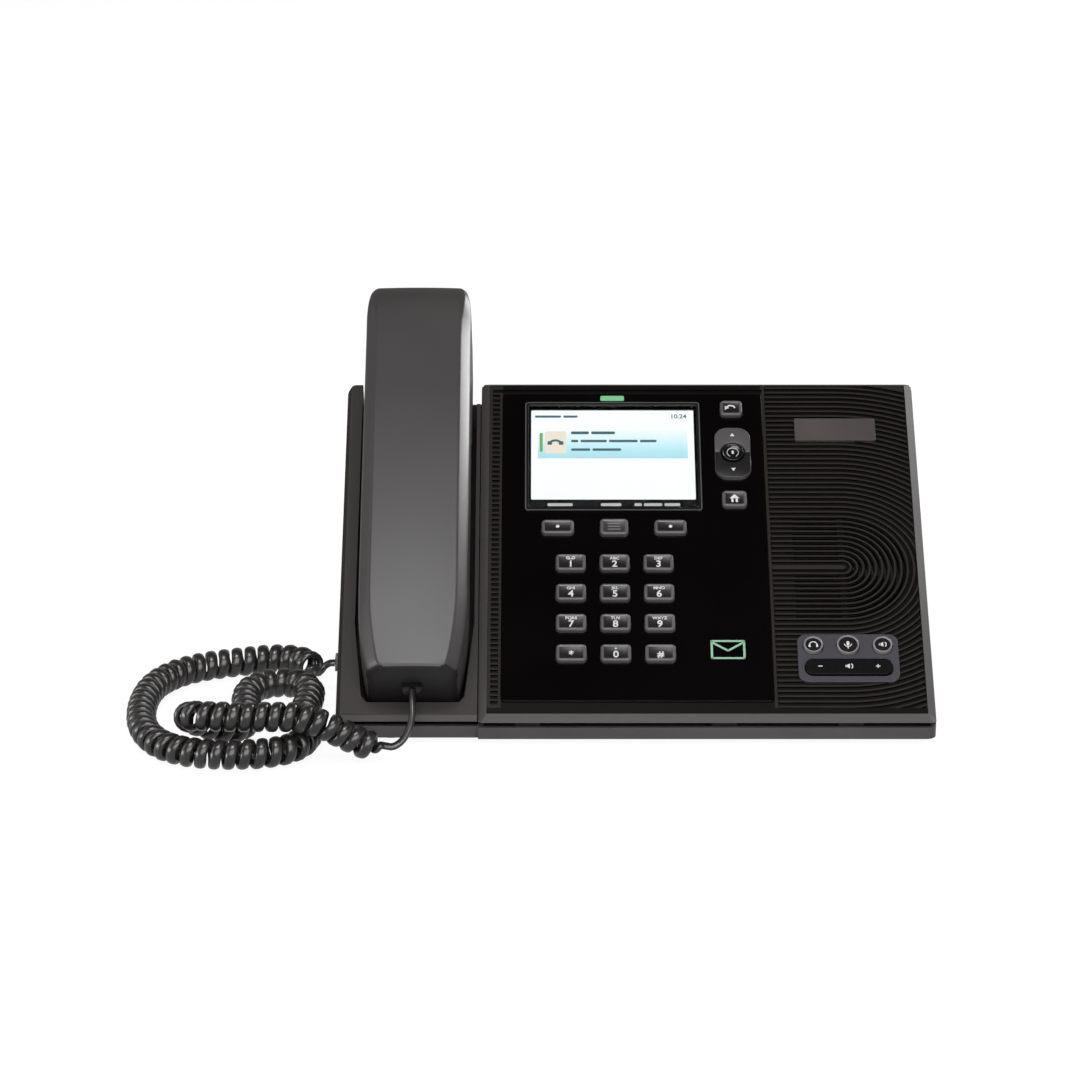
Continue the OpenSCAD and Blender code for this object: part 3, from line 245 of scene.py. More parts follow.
def blendColours(tree, factor, low, high, fromMin=0.3, fromMax=0.7):
    ramp = tree.nodes.new("ShaderNodeValToRGB")
    ramp.color_ramp.elements[0].position = fromMin
    ramp.color_ramp.elements[0].color = (*low, 1)
    ramp.color_ramp.elements[1].position = fromMax
    ramp.color_ramp.elements[1].color = (*high, 1)
    tree.links.new(factor, ramp.inputs["Fac"])
    return ramp.outputs["Color"]


def spread(tree, noise, low, high):
    return rangeNode(tree, noise.outputs["Fac"], {"To Min": low, "To Max": high})


def roundEdges(tree, radius, samples, normalSocket):
    soft = tree.nodes.new("ShaderNodeBevel")
    soft.samples = samples
    soft.inputs["Radius"].default_value = radius
    tree.links.new(soft.outputs[0], normalSocket)


def mouldedPlastic(name, colour, vary=0.12, rough=0.45, roughVary=0.06, grain=9000, bump=0.05,
                   edge=0.25 * mm, coat=0.0, coatRough=0.1, specular=0.5):
    # fine texture, slight colour drift, soft edges
    material, tree, shader = newMaterial(name)
    drift = noiseNode(tree, 28, 2)
    low = [c * (1 - vary) for c in colour]
    high = [c * (1 + vary) for c in colour]
    tree.links.new(blendColours(tree, drift.outputs["Fac"], low, high), shader.inputs["Base Color"])
    fine = noiseNode(tree, grain, 2)
    tree.links.new(spread(tree, drift, rough - roughVary, rough + roughVary), shader.inputs["Roughness"])
    bumpNode = tree.nodes.new("ShaderNodeBump")
    bumpNode.inputs["Strength"].default_value = bump
    bumpNode.inputs["Distance"].default_value = 0.05 * mm
    tree.links.new(fine.outputs["Fac"], bumpNode.inputs["Height"])
    if edge:
        roundEdges(tree, edge, 6, bumpNode.inputs["Normal"])
    tree.links.new(bumpNode.outputs[0], shader.inputs["Normal"])
    shader.inputs["Specular IOR Level"].default_value = specular
    if coat:
        shader.inputs["Coat Weight"].default_value = coat
        shader.inputs["Coat Roughness"].default_value = coatRough
    return material


def metal(name, colour, rough=0.3, edge=0.15 * mm):
    material, tree, shader = newMaterial(name)
    streak = noiseNode(tree, 900, 2, (1, 12, 12))
    tree.links.new(blendColours(tree, streak.outputs["Fac"], [c * 0.85 for c in colour], colour),
                   shader.inputs["Base Color"])
    tree.links.new(spread(tree, streak, rough * 0.8, rough * 1.3), shader.inputs["Roughness"])
    shader.inputs["Metallic"].default_value = 1
    roundEdges(tree, edge, 4, shader.inputs["Normal"])
    return material


def glowing(name, colour, strength, shade=0.85):
    # lit surface with a slight unevenness
    material, tree, shader = newMaterial(name)
    uneven = noiseNode(tree, 60, 1)
    lit = blendColours(tree, uneven.outputs["Fac"], [c * shade for c in colour], colour)
    tree.links.new(lit, shader.inputs["Emission Color"])
    shader.inputs["Base Color"].default_value = (*[c * 0.1 for c in colour], 1)
    shader.inputs["Emission Strength"].default_value = strength
    shader.inputs["Roughness"].default_value = 0.4
    return material


def clearPlastic(name, colour, rough=0.05, ior=1.45):
    material, tree, shader = newMaterial(name)
    haze = noiseNode(tree, 40, 1)
    tree.links.new(spread(tree, haze, rough * 0.7, rough * 1.3), shader.inputs["Roughness"])
    shader.inputs["Base Color"].default_value = (*colour, 1)
    shader.inputs["Transmission Weight"].default_value = 1
    shader.inputs["IOR"].default_value = ior
    return material


coverLook = {
    "rough": 0.42, "softEdge": 0.12 * mm, "specular": 0.12, "bevelSpecular": 0.06, "dullFrom": 0.5,
    # the bevel colour is a painted highlight on the bevels round the face
    "bevelHighlightColour": (0.081, 0.076, 0.076), "bevel": 3.4 * mm,
}


def coverPlastic(name, groove, crestHighlight, crestFrom, bevels=(), plainBand=None):
    # near-black grooves, with painted highlights: thin lighter crests and lighter bevels round the face
    s = coverLook
    material = mouldedPlastic(name, groove, rough=s["rough"], edge=s["softEdge"], specular=s["specular"])
    tree = material.node_tree
    shader = tree.nodes["Principled BSDF"]
    # object coordinates turned into face coordinates
    angle = math.atan2(-normal.y, normal.z)
    place = tree.nodes.new("ShaderNodeTexCoord")
    turn = tree.nodes.new("ShaderNodeMapping")
    turn.vector_type = "POINT"
    turn.inputs["Rotation"].default_value = (-angle, 0, 0)
    turn.inputs["Location"].default_value = -(Matrix.Rotation(-angle, 3, "X") @ faceOrigin)
    parts = tree.nodes.new("ShaderNodeSeparateXYZ")
    tree.links.new(place.outputs["Object"], turn.inputs["Vector"])
    tree.links.new(turn.outputs[0], parts.inputs[0])

    bevelHighlightShare = None
    for axis, sign, edge, strength in bevels:
        beyond = mathNode(tree, "GREATER_THAN" if sign > 0 else "LESS_THAN", parts.outputs[axis], edge)
        share = mathNode(tree, "MULTIPLY", beyond, strength)
        bevelHighlightShare = share if bevelHighlightShare is None else mathNode(tree, "MAXIMUM", bevelHighlightShare, share)
    upFrom = mathNode(tree, "GREATER_THAN", parts.outputs["Y"], crestFrom[0])
    outFrom = mathNode(tree, "GREATER_THAN", parts.outputs["Z"], crestFrom[1])
    crestHighlightMask = mathNode(tree, "MULTIPLY", upFrom, outFrom)
    if plainBand:
        # no painted crest highlight below and above the panel
        left, right = plainBand
        inBand = mathNode(tree, "COMPARE", parts.outputs["X"], (left + right) / 2, (right - left) / 2)
        crestHighlightMask = mathNode(tree, "GREATER_THAN", crestHighlightMask, inBand)

    layers = [(crestHighlightMask, crestHighlight)]
    if bevelHighlightShare is not None:
        layers.append((bevelHighlightShare, s["bevelHighlightColour"]))
        dull = rangeNode(tree, bevelHighlightShare, {
            "From Max": s["dullFrom"], "To Min": s["specular"], "To Max": s["bevelSpecular"],
        })
        tree.links.new(dull, shader.inputs["Specular IOR Level"])
    # the painted highlights are laid over the base colour by their masks
    for share, colour in layers:
        mix = tree.nodes.new("ShaderNodeMix")
        mix.data_type = "RGBA"
        mix.inputs[7].default_value = (*colour, 1)
        below = shader.inputs["Base Color"].links[0].from_socket
        tree.links.new(share, mix.inputs[0])
        tree.links.new(below, mix.inputs[6])
        tree.links.new(mix.outputs[2], shader.inputs["Base Color"])
    return material


# the lighter crest colour is a painted highlight on the rib crests, where light catches them
grooveBlack, crestHighlightGrey = (0.0026, 0.0021, 0.0019), (0.0200, 0.0172, 0.0158)
# painted light and shade: the cradle's top is lighter and its inside darker, as the light falls on it
cradleShadedInside, cradleLitTop = (0.0205, 0.0175, 0.0180), (0.044, 0.039, 0.039)
anywhere = -1  # a slope distance below every face
# the bevels round the face get a painted highlight, stronger on the sides the light falls on most
frontBevel = ("Y", -1, 0.2 * mm, 1)
bevel = coverLook["bevel"]
coverLow, coverHigh = faceBox("front_cover")
panelLow, panelHigh = faceBox("faceplate_panel")
coverBevels = [  # axis, direction, where the bevel begins, how strongly its painted highlight shows
    frontBevel,
    ("Y", 1, coverHigh.y - bevel, 0.3),
    ("X", -1, coverLow.x + bevel, 1),
    ("X", 1, coverHigh.x - bevel, 0.55),
]
plastics = {  # colour, then what differs from a plain moulded plastic
    "housing": ((0.060, 0.056, 0.056), dict(rough=0.45, specular=0.4)),
    "panel": ((0.0018, 0.0014, 0.0014), dict(rough=0.10, roughVary=0.03, bump=0.01, edge=0.4 * mm,
                                             specular=0.18)),
    "keyFace": ((0.010, 0.009, 0.0095), dict(rough=0.34, edge=0.2 * mm)),
    # painted highlight: key rims lighter than the faces, as where their edges catch the light
    "keyRimHighlight": ((0.085, 0.080, 0.080), dict(rough=0.32, edge=0)),
    "menuFace": ((0.034, 0.032, 0.033), dict(rough=0.36, edge=0)),
    "navUp": ((0.075, 0.072, 0.072), dict(rough=0.34, edge=0)),
    "navDown": ((0.009, 0.008, 0.009), dict(rough=0.34, edge=0)),
    "select": ((0.004, 0.004, 0.004), dict(rough=0.28, edge=0)),
    "audioRim": ((0.20, 0.195, 0.21), dict(rough=0.24, edge=0)),
    "audioFace": ((0.005, 0.005, 0.005), dict(rough=0.25, edge=0)),
    "rocker": ((0.0035, 0.0035, 0.0035), dict(rough=0.24, edge=0.3 * mm, specular=0.25)),
    "plate": ((0.046, 0.043, 0.049), dict(rough=0.36, edge=0.4 * mm, specular=0.4)),
    "badge": ((0.060, 0.052, 0.049), dict(rough=0.34, edge=0.2 * mm, specular=0.4)),
    "trim": ((0.006, 0.006, 0.006), dict(rough=0.25, edge=0.25 * mm)),
    "trimLine": ((0.075, 0.075, 0.078), dict(rough=0.25, edge=0)),
    "handset": ((0.041, 0.0375, 0.0375), dict(vary=0.05, rough=0.36, roughVary=0.03, grain=7000, bump=0.03,
                                              edge=0)),
    # painted shade: the handset's end wall, darker as if in shadow in the cradle pocket
    "handsetEndShade": ((0.015, 0.0135, 0.0135), dict(rough=0.42, grain=7000, bump=0.03, edge=0, specular=0.35)),
    "legend": ((0.60, 0.60, 0.60), dict(vary=0.05, rough=0.5, edge=0)),
    "greyInk": ((0.14, 0.135, 0.135), dict(vary=0.05, rough=0.5, edge=0)),
    "greenInk": ((0.22, 0.42, 0.30), dict(vary=0.15, rough=0.5, edge=0)),
    "cord": ((0.014, 0.0120, 0.0115), dict(rough=0.36, roughVary=0.05, grain=3000, bump=0.03, edge=0,
                                           coat=1.0, coatRough=0.23)),
    "rubber": ((0.012, 0.012, 0.012), dict(rough=0.8, grain=4000, bump=0.15)),
    "silicone": ((0.30, 0.32, 0.34), dict(rough=0.6)),
    "board": ((0.015, 0.10, 0.045), dict(vary=0.3, rough=0.3, edge=0.1 * mm)),
    "socket": ((0.012, 0.012, 0.012), dict(rough=0.4, edge=0.15 * mm)),
    "cone": ((0.02, 0.02, 0.021), dict(rough=0.6)),
    "backlight": ((0.003, 0.003, 0.003), dict(rough=0.3)),
}
finish = {name: mouldedPlastic(name, colour, **rest) for name, (colour, rest) in plastics.items()}
finish.update({
    "cradle": coverPlastic("cradlePlastic", cradleShadedInside, cradleLitTop, (anywhere, -1.0 * mm), [frontBevel]),
    "cover": coverPlastic("coverPlastic", grooveBlack, crestHighlightGrey, (3.1 * mm, -0.12 * mm), coverBevels,
                          (panelLow.x, panelHigh.x)),
    "ribs": coverPlastic("ribPlastic", grooveBlack, crestHighlightGrey, (anywhere, -0.12 * mm)),
    "shield": metal("socketShield", (0.62, 0.62, 0.60)),
    "screw": metal("screwSteel", (0.45, 0.45, 0.46)),
    "plug": clearPlastic("plugPlastic", (0.20, 0.20, 0.19), rough=0.15),
    "window": clearPlastic("windowPane", (1, 1, 1), rough=0.02, ior=1.12),
    "light": glowing("lightGreen", (0.20, 0.56, 0.28), 0.85),
})

finishedNodes = {
    "housing": ["base_housing", "stand"], "cradle": ["cradle_housing", "hook_plunger"],
    "cover": ["front_cover"], "ribs": ["speaker_grille"], "panel": ["faceplate_panel"],
    "trim": ["display_trim"], "window": ["display_window"], "backlight": ["lcd_module"],
    "light": ["status_light_pipe"], "plate": ["audio_key_plate"], "badge": ["badge_plate"],
    "rocker": ["volume_rocker"], "silicone": ["key_membrane"], "rubber": ["rubber_feet"],
    "cone": ["loudspeaker", "earpiece_receiver", "handset_microphone"],
    "board": ["main_board", "connector_board", "hook_switch"], "shield": ["lan_jack", "pc_jack"],
    "socket": ["headset_jack", "base_handset_jack", "handset_jack"],
    "screw": ["housing_screws", "handset_screws"], "plug": ["handset_plug", "base_plug"],
}
for finishName, nodeNames in finishedNodes.items():
    for nodeName in nodeNames:
        mesh = nodes[nodeName].data
        mesh.materials.clear()
        mesh.materials.append(finish[finishName])
print("materials assigned")

# mesh helpers


def addPiece(name, bm, materials, body="base", place=None, smoothAngle=35):
    if place:
        bm.transform(place)
    bmesh.ops.recalc_face_normals(bm, faces=bm.faces)
    mesh = bpy.data.meshes.new(name)
    bm.to_mesh(mesh)
    bm.free()
    for material in materials:
        mesh.materials.append(finish[material])
    if smoothAngle:
        mesh.shade_smooth()
        mesh.set_sharp_from_angle(angle=math.radians(smoothAngle))
    piece = bpy.data.objects.new(name, mesh)
    bpy.context.scene.collection.objects.link(piece)
    if body:
        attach(piece, body)
    return piece


def slab(bm, centre, size, low, high, corner, edge=0.0, edgeSegments=3, cornerSegments=6, material=0):
    # a rounded plate: a grid with its corners bevelled, extruded, its top edge bevelled
    before = set(bm.faces)
    verts = bmesh.ops.create_grid(bm, x_segments=1, y_segments=1, size=0.5)["verts"]
    bmesh.ops.scale(bm, verts=verts, vec=(size[0], size[1], 1))
    bmesh.ops.translate(bm, verts=verts, vec=(centre[0], centre[1], low))
    if corner:
        bmesh.ops.bevel(bm, geom=verts, offset=corner, segments=cornerSegments, profile=0.5,
                        affect="VERTICES", material=-1)
    base = [f for f in bm.faces if f not in before]
    raised = bmesh.ops.extrude_face_region(bm, geom=base)["geom"]
    top = [g for g in raised if isinstance(g, bmesh.types.BMFace)]
    upper = [g for g in raised if isinstance(g, bmesh.types.BMVert)]
    bmesh.ops.translate(bm, verts=upper, vec=(0, 0, high - low))
    for f in bm.faces:
        if f not in before:
            f.material_index = material
    if edge:
        rim = {e for f in top for e in f.edges}
        bmesh.ops.bevel(bm, geom=list(rim), offset=edge, segments=edgeSegments, profile=0.5,
                        affect="EDGES", material=-1, clamp_overlap=True)
    return [f for f in bm.faces if f not in before]


def disc(bm, centre, radius, low, high, segments=40, edge=0.0, material=0):
    before = set(bm.faces)
    made = bmesh.ops.create_cone(bm, cap_ends=True, segments=segments, radius1=radius, radius2=radius,
                                 depth=high - low)["verts"]
    bmesh.ops.translate(bm, verts=made, vec=(centre[0], centre[1], (low + high) / 2))
    if edge:
        rim = [e for e in bm.edges if all(v in set(made) and v.co.z > (low + high) / 2 for v in e.verts)]
        bmesh.ops.bevel(bm, geom=rim, offset=edge, segments=4, profile=0.5, affect="EDGES", material=-1)
    faces = [f for f in bm.faces if f not in before]
    for f in faces:
        f.material_index = material
    return faces


def ringBand(bm, centre, outer, inner, low, high, startAngle=0, sweep=360, steps=48):
    # a flat ring or part of one, spun from its cross-section
    corners = [(inner, low), (outer, low), (outer, high), (inner, high)]
    start = math.radians(startAngle)
    x, y = centre
    verts = [bm.verts.new((x + r * math.cos(start), y + r * math.sin(start), z)) for r, z in corners]
    section = bm.faces.new(verts)
    full = sweep >= 360
    bmesh.ops.spin(bm, geom=[section] + list(section.edges) + verts, cent=(x, y, 0), axis=(0, 0, 1),
                   angle=math.radians(sweep), steps=steps, use_merge=full, use_duplicate=False)
    if full:
        bmesh.ops.delete(bm, geom=[section], context="FACES_ONLY")


inkDepth = 0.06 * mm
letterWeight = 0.02  # how far letters are thickened, as a share of their size


def textInto(bm, words, size, centre, height, thickness=inkDepth / 2):
    curve = bpy.data.curves.new("legend", "FONT")
    curve.body = words
    curve.size = size
    curve.align_x = "CENTER"
    curve.align_y = "CENTER"
    curve.extrude = thickness
    curve.offset = size * letterWeight
    holder = bpy.data.objects.new("legend", curve)
    bpy.context.scene.collection.objects.link(holder)
    bpy.context.view_layer.update()
    depsgraph = bpy.context.evaluated_depsgraph_get()
    mesh = bpy.data.meshes.new_from_object(holder.evaluated_get(depsgraph))
    mesh.transform(Matrix.Translation((centre[0], centre[1], height)))
    bm.from_mesh(mesh)
    bpy.data.objects.remove(holder)
    bpy.data.curves.remove(curve)
    bpy.data.meshes.remove(mesh)


def ease(t):
    return t * t * (3 - 2 * t)


# cord

cordStyle = {
    "coilRadius": 4.8 * mm, "width": 4.6 * mm, "thickness": 2.7 * mm, "pitch": 5.5 * mm,
    "stepsPerTurn": 16, "sides": 10, "fadeTurns": 1.2, "perSpan": 12, "lookAhead": 0.4 * mm,
    "leadSteps": (14, 22), "blendAt": -126 * mm, "blendLength": 35 * mm, "blendDrift": -0.35,
    "coil": [
        (-131, 63, 6.6), (-134, 69, 6.5), (-140, 74, 6.5), (-149, 75, 6.5), (-158, 73, 6.5),
        (-168, 70, 6.5), (-176, 67, 6.5), (-183, 63, 6.5), (-189.5, 57, 6.5), (-195, 48, 6.5),
        (-198, 37, 6.5), (-199, 25, 6.5), (-198.5, 13, 6.5), (-196.5, 2, 6.5), (-192.5, -8, 6.5),
        (-186.5, -16, 6.5), (-178, -21.5, 6.5), (-168, -24, 6.5), (-157, -24.5, 6.5),
        (-146, -23, 6.5), (-137, -18.5, 6.5), (-132, -11, 6.5), (-130.5, -1, 6.5),
        (-132, 10, 6.5), (-133, 20, 6.5), (-132, 31, 6.5), (-132.5, 41, 6.5), (-138, 48, 6.5),
        (-147, 49, 6.5), (-154.5, 44, 6.5), (-157.5, 35, 6.5), (-157, 25, 6.5), (-156, 15, 6.5),
        (-157, 6, 6.5), (-162, -1, 7.5), (-170, -4, 10.5), (-177, -8, 15), (-175, -14, 18.5),
        (-166, -17, 19.5), (-155, -17.5, 19.5), (-144, -17.5, 19.5), (-134, -17.5, 19.2),
        (-124, -17, 16), (-115, -16, 11), (-107.5, -16.5, 7.6), (-100, -16, 6.6),
    ],
    "baseLead": [
        (-122.7, 57, 12), (-124.6, 57, 12), (-126.7, 57.2, 10.7), (-128.2, 58.2, 8.4), (-129.5, 60, 6.65),
    ],
    "handsetLead": [
        (-96.25, -15.75, 6.1), (-92.6, -13.6, 8), (-90, -10, 11.8), (-88.9, -6, 15.8),
        (-89, -1.6, 19.25), (-89.25, 2.7, 21.8),
    ],
}


def smoothRoute(points, perSpan):
    # a smooth curve through the points
    dense = []
    for i in range(len(points) - 1):
        a, b = points[max(i - 1, 0)], points[i]
        c, d = points[i + 1], points[min(i + 2, len(points) - 1)]
        for k in range(perSpan):
            t = k / perSpan
            bend = (2 * a - 5 * b + 4 * c - d) * t ** 2
            twist = (3 * b - a - 3 * c + d) * t ** 3
            dense.append(0.5 * (2 * b + (c - a) * t + bend + twist))
    dense.append(points[-1])
    return dense


def alongRoute(points):
    lengths = [0.0]
    for a, b in zip(points, points[1:]):
        lengths.append(lengths[-1] + (b - a).length)
    return lengths


def pointAt(points, lengths, s, hint):
    while hint < len(lengths) - 2 and lengths[hint + 1] < s:
        hint += 1
    span = lengths[hint + 1] - lengths[hint]
    t = 0 if span == 0 else (s - lengths[hint]) / span
    return points[hint].lerp(points[hint + 1], t), hint


def makeCord():
    s = cordStyle
    place = Vector((0, phoneFront, 0))
    route = [Vector(p) * mm + place for p in s["baseLead"] + s["coil"] + s["handsetLead"]]
    points = smoothRoute(route, s["perSpan"])
    lengths = alongRoute(points)
    leadIn = lengths[s["perSpan"] * len(s["baseLead"])]
    coilEnd = lengths[s["perSpan"] * (len(route) - len(s["handsetLead"]) - 1)]
    leadOut = lengths[-1] - coilEnd
    turns = round((coilEnd - leadIn) / s["pitch"])
    count = turns * s["stepsPerTurn"]
    fade = s["pitch"] * s["fadeTurns"]
    stepsIn, stepsOut = s["leadSteps"]
    stations = [leadIn * i / stepsIn for i in range(stepsIn)]
    stations += [leadIn + (coilEnd - leadIn) * i / count for i in range(count)]
    stations += [coilEnd + leadOut * i / stepsOut for i in range(stepsOut + 1)]

    centres, axes, sides = [], [], []
    hint = 0
    side = None
    for distance in stations:
        here, hint = pointAt(points, lengths, min(distance, lengths[-1] - 1e-7), hint)
        ahead, _ = pointAt(points, lengths, min(distance + s["lookAhead"], lengths[-1]), hint)
        axis = (ahead - here).normalized() if (ahead - here).length > 1e-6 else axes[-1]
        if side is None:
            side = axis.cross(Vector((0, 0, 1))).normalized()
        side = (side - axis * side.dot(axis)).normalized()
        centres.append(here)
        axes.append(axis)
        sides.append(side.copy())

    # the coil winds round the route and grows out of the two straight leads
    path, widths = [], []
    for i, distance in enumerate(stations):
        inCoil = min(distance - leadIn, coilEnd - distance)
        grow = ease(max(0.0, min(1.0, inCoil / fade)))
        angle = 2 * math.pi * turns * max(0.0, min(1.0, (distance - leadIn) / (coilEnd - leadIn)))
        up = sides[i].cross(axes[i])
        path.append(centres[i] + s["coilRadius"] * grow * (math.cos(angle) * sides[i] + math.sin(angle) * up))
        level = Vector((0, 1, 0)) - axes[i] * axes[i].y
        widths.append(axes[i] * grow + level.normalized() * (1 - grow))

    bm = bmesh.new()
    rings = []
    for i, centre in enumerate(path):
        tangent = (path[min(i + 1, len(path) - 1)] - path[max(i - 1, 0)]).normalized()
        wide = (widths[i] - tangent * widths[i].dot(tangent)).normalized()
        thin = tangent.cross(wide)
        ring = []
        for k in range(s["sides"]):
            a = 2 * math.pi * k / s["sides"]
            offset = wide * (s["width"] / 2 * math.cos(a)), thin * (s["thickness"] / 2 * math.sin(a))
            ring.append(bm.verts.new(centre + offset[0] + offset[1]))
        rings.append(ring)
    for a, b in zip(rings, rings[1:]):
        for k in range(s["sides"]):
            nextK = (k + 1) % s["sides"]
            bm.faces.new((a[k], a[nextK], b[nextK], b[k]))
    bm.faces.new(rings[0][::-1])
    bm.faces.new(rings[-1])
    piece = addPiece("curlyCord", bm, ["cord"], body=None, smoothAngle=60)
    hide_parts("cord_coil", "cord_lead_base", "cord_lead_handset")
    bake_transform(piece)


makeCord()

# handset

handset = {
    "front": 8 * mm, "length": 193 * mm, "width": 44.7 * mm, "backLow": 20.6 * mm, "backHigh": 35 * mm,
    "split": 11 * mm, "seam": 0.15 * mm, "taperLength": 38 * mm, "taper": 4.4 * mm, "lowCorner": 4 * mm,
    "shoulderLength": 20 * mm, "shoulderInset": 4.8 * mm, "highCorner": 3.4 * mm, "endRound": 1.6 * mm,
    "bandLength": 26 * mm, "bandLeast": 0.3, "slopeLength": 14 * mm, "slopeDrop": 4.8 * mm,
    "cup": -13.7 * mm, "handle": 7 * mm, "cupRise": 10 * mm, "mouthTo": 38 * mm, "arch": 24 * mm,
    "earFrom": 49 * mm, "earTo": 23 * mm, "endDrop": 4 * mm, "crown": 0.4 * mm, "lip": 0.02 * mm,
    "edgeDepth": 0.85, "columns": 44, "flatColumns": 0.5, "middleSlices": 9, "archSlices": 9, "archStep": 3,
    "lowSlices": [0, 0.15, 0.4, 0.8, 1.3, 2, 2.8, 4, 6, 8, 11, 14, 18, 22, 27, 32, 38],
    "highSlices": [0, 0.1, 0.3, 0.6, 1, 1.6, 2.2, 2.6, 3.6, 5, 7, 9, 12, 15, 18, 22, 30, 40, 50],
}
lowEnd, highEnd = handset["front"], handset["front"] + handset["length"]
# across the edge of each shell, in mm: in from the side, down from the flat
backEdge = [(5.3, 0), (4.9, 0.05), (4.5, 0.25), (4.05, 0.65), (3.0, 1.75), (1.9, 2.95), (0.95, 4.1),
            (0.5, 4.9), (0.3, 6.0), (0.2, 8.0)]
innerEdge = [(4.0, 0), (3.3, 0.05), (2.6, 0.2), (1.9, 0.5), (1.3, 0.95), (0.8, 1.5), (0.4, 2.2),
             (0.15, 3.0), (0.05, 4.0), (0, 5.0)]


def endRound(d, r):
    # how far a corner of radius r has come in, at a distance d from the end
    d = max(0, d)
    return r - math.sqrt(max(0, r * r - (r - d) ** 2)) if d < r else 0


def fallAway(d, length, depth):
    # an elliptic fall over the last stretch before the end
    reach = max(0, min(1, 1 - d / length))
    return depth * (1 - math.sqrt(1 - reach * reach))


def halfWidth(l):
    s = handset
    fromLow, fromHigh = l - lowEnd, highEnd - l
    taper = s["taper"] * (1 - fromLow / s["taperLength"]) ** 2 if fromLow < s["taperLength"] else 0
    shoulder = fallAway(fromHigh, s["shoulderLength"], s["shoulderInset"])
    corners = endRound(fromLow, s["lowCorner"]), endRound(fromHigh, s["highCorner"])
    return s["width"] / 2 - taper - shoulder - corners[0] - corners[1]


def backHeight(l):
    s = handset
    t = min(1, max(0, (l - lowEnd) / s["length"]))
    ends = endRound(l - lowEnd, s["endRound"]) + endRound(highEnd - l, s["endRound"])
    ends += fallAway(highEnd - l, s["slopeLength"], s["slopeDrop"])
    return s["backHigh"] - (s["backHigh"] - s["backLow"]) * (1 - t) ** 2 - ends


def underHeight(l):
    # mouth cup, arched handle, ear cup
    s = handset
    earLow, earHigh = highEnd - s["earFrom"], highEnd - s["earTo"]
    cup, handle, arch, drop = s["cup"], s["handle"], s["arch"], s["endDrop"]
    if l < lowEnd + s["cupRise"]:
        return -drop + (cup + drop) * math.sqrt(max(0, 1 - (1 - (l - lowEnd) / s["cupRise"]) ** 2))
    if l < lowEnd + s["mouthTo"]:
        return cup
    if l < lowEnd + s["mouthTo"] + arch:
        return cup + (handle - cup) * ease((l - lowEnd - s["mouthTo"]) / arch)
    if l < earLow - arch:
        return handle
    if l < earLow:
        return handle + (cup - handle) * ease((l - earLow + arch) / arch)
    if l < earHigh:
        return cup
    return cup + (drop - cup) * (1 - math.sqrt(max(0, 1 - ((l - earHigh) / (highEnd - earHigh)) ** 2)))


def bandShare(l):
    # the edge band narrows toward the high end
    s = handset
    along = max(0, min(1, (highEnd - l) / s["bandLength"]))
    return s["bandLeast"] + (1 - s["bandLeast"]) * ease(along)


def shellSection(across, half, far, near, edge, share):
    # over the flat middle, round the edge and down the wall
    s = handset
    side = -1 if across < 0 else 1
    toward = 1 if near > far else -1
    depth = abs(near - far)
    fit = min(share, depth * s["edgeDepth"] / (edge[-1][1] * mm))
    inner = half - edge[0][0] * share * mm
    a = abs(across)
    flat = s["flatColumns"]
    if a <= flat:
        x = inner * a / flat
        return side * x, far + toward * s["crown"] * (x / inner) ** 2
    step = round((a - flat) / (1 - flat) * len(edge))
    i = max(0, min(step, len(edge)) - 1)
    inward, down = edge[i]
    if a > 0.999:
        return side * half, near - toward * s["lip"]
    return side * (half - inward * share * mm), far + toward * (s["crown"] + down * mm * fit)


def shell(name, stops, farHeight, near, edge, replaced):
    # a cube cut into slices, each slice shaped by the section
    s = handset
    boxLow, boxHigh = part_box(replaced)
    centreX = (boxLow.x + boxHigh.x) / 2
    upward = farHeight((lowEnd + highEnd) / 2) > near
    bm = bmesh.new()
    bmesh.ops.create_cube(bm, size=1)
    bmesh.ops.scale(bm, verts=bm.verts, vec=(2, s["length"], 1))
    bmesh.ops.translate(bm, verts=bm.verts, vec=(0, (lowEnd + highEnd) / 2, 0))
    cuts = [((0, l, 0), (0, 1, 0)) for l in stops[1:-1]]
    cuts += [((i / (s["columns"] // 2) - 1, 0, 0), (1, 0, 0)) for i in range(1, s["columns"])]
    for point, direction in cuts:
        whole = bm.verts[:] + bm.edges[:] + bm.faces[:]
        bmesh.ops.bisect_plane(bm, geom=whole, plane_co=point, plane_no=direction)
    for v in bm.verts:
        half = halfWidth(v.co.y)
        if (v.co.z > 0) == upward:
            v.co.x, v.co.z = shellSection(v.co.x, half, farHeight(v.co.y), near, edge, bandShare(v.co.y))
        else:
            v.co.x, v.co.z = v.co.x * half, near
        v.co.x += centreX
    bm.normal_update()
    for f in bm.faces:
        if f.normal.y < -0.55:  # painted shade: the end wall is darker, as if in the shadow of the cradle pocket
            f.material_index = 1
    piece = addPiece(name, bm, ["handset", "handsetEndShade"], "handset", faceMatrix, 32)
    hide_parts(replaced)


def makeHandset():
    s = handset
    ends, tops = s["lowSlices"], s["highSlices"]
    between = (s["length"] / mm - ends[-1] - tops[-1]) / s["middleSlices"]
    stops = [lowEnd + d * mm for d in ends]
    stops += [lowEnd + (ends[-1] + i * between) * mm for i in range(1, s["middleSlices"])]
    stops += [highEnd - d * mm for d in reversed(tops)]
    shell("handsetBack", stops, backHeight, s["split"] + s["seam"], backEdge, "handset_outer_shell")
    mouthEnd, earEnd = round(s["mouthTo"] / mm), round(s["earFrom"] / mm)
    arches = [lowEnd + (mouthEnd + s["archStep"] * i) * mm for i in range(s["archSlices"])]
    arches += [highEnd - (earEnd + s["archStep"] * i) * mm for i in range(s["archSlices"])]
    shell("handsetFront", sorted(set(stops + arches)), underHeight, s["split"] - s["seam"], innerEdge,
          "handset_inner_shell")
    print("handset modelled")


makeHandset()

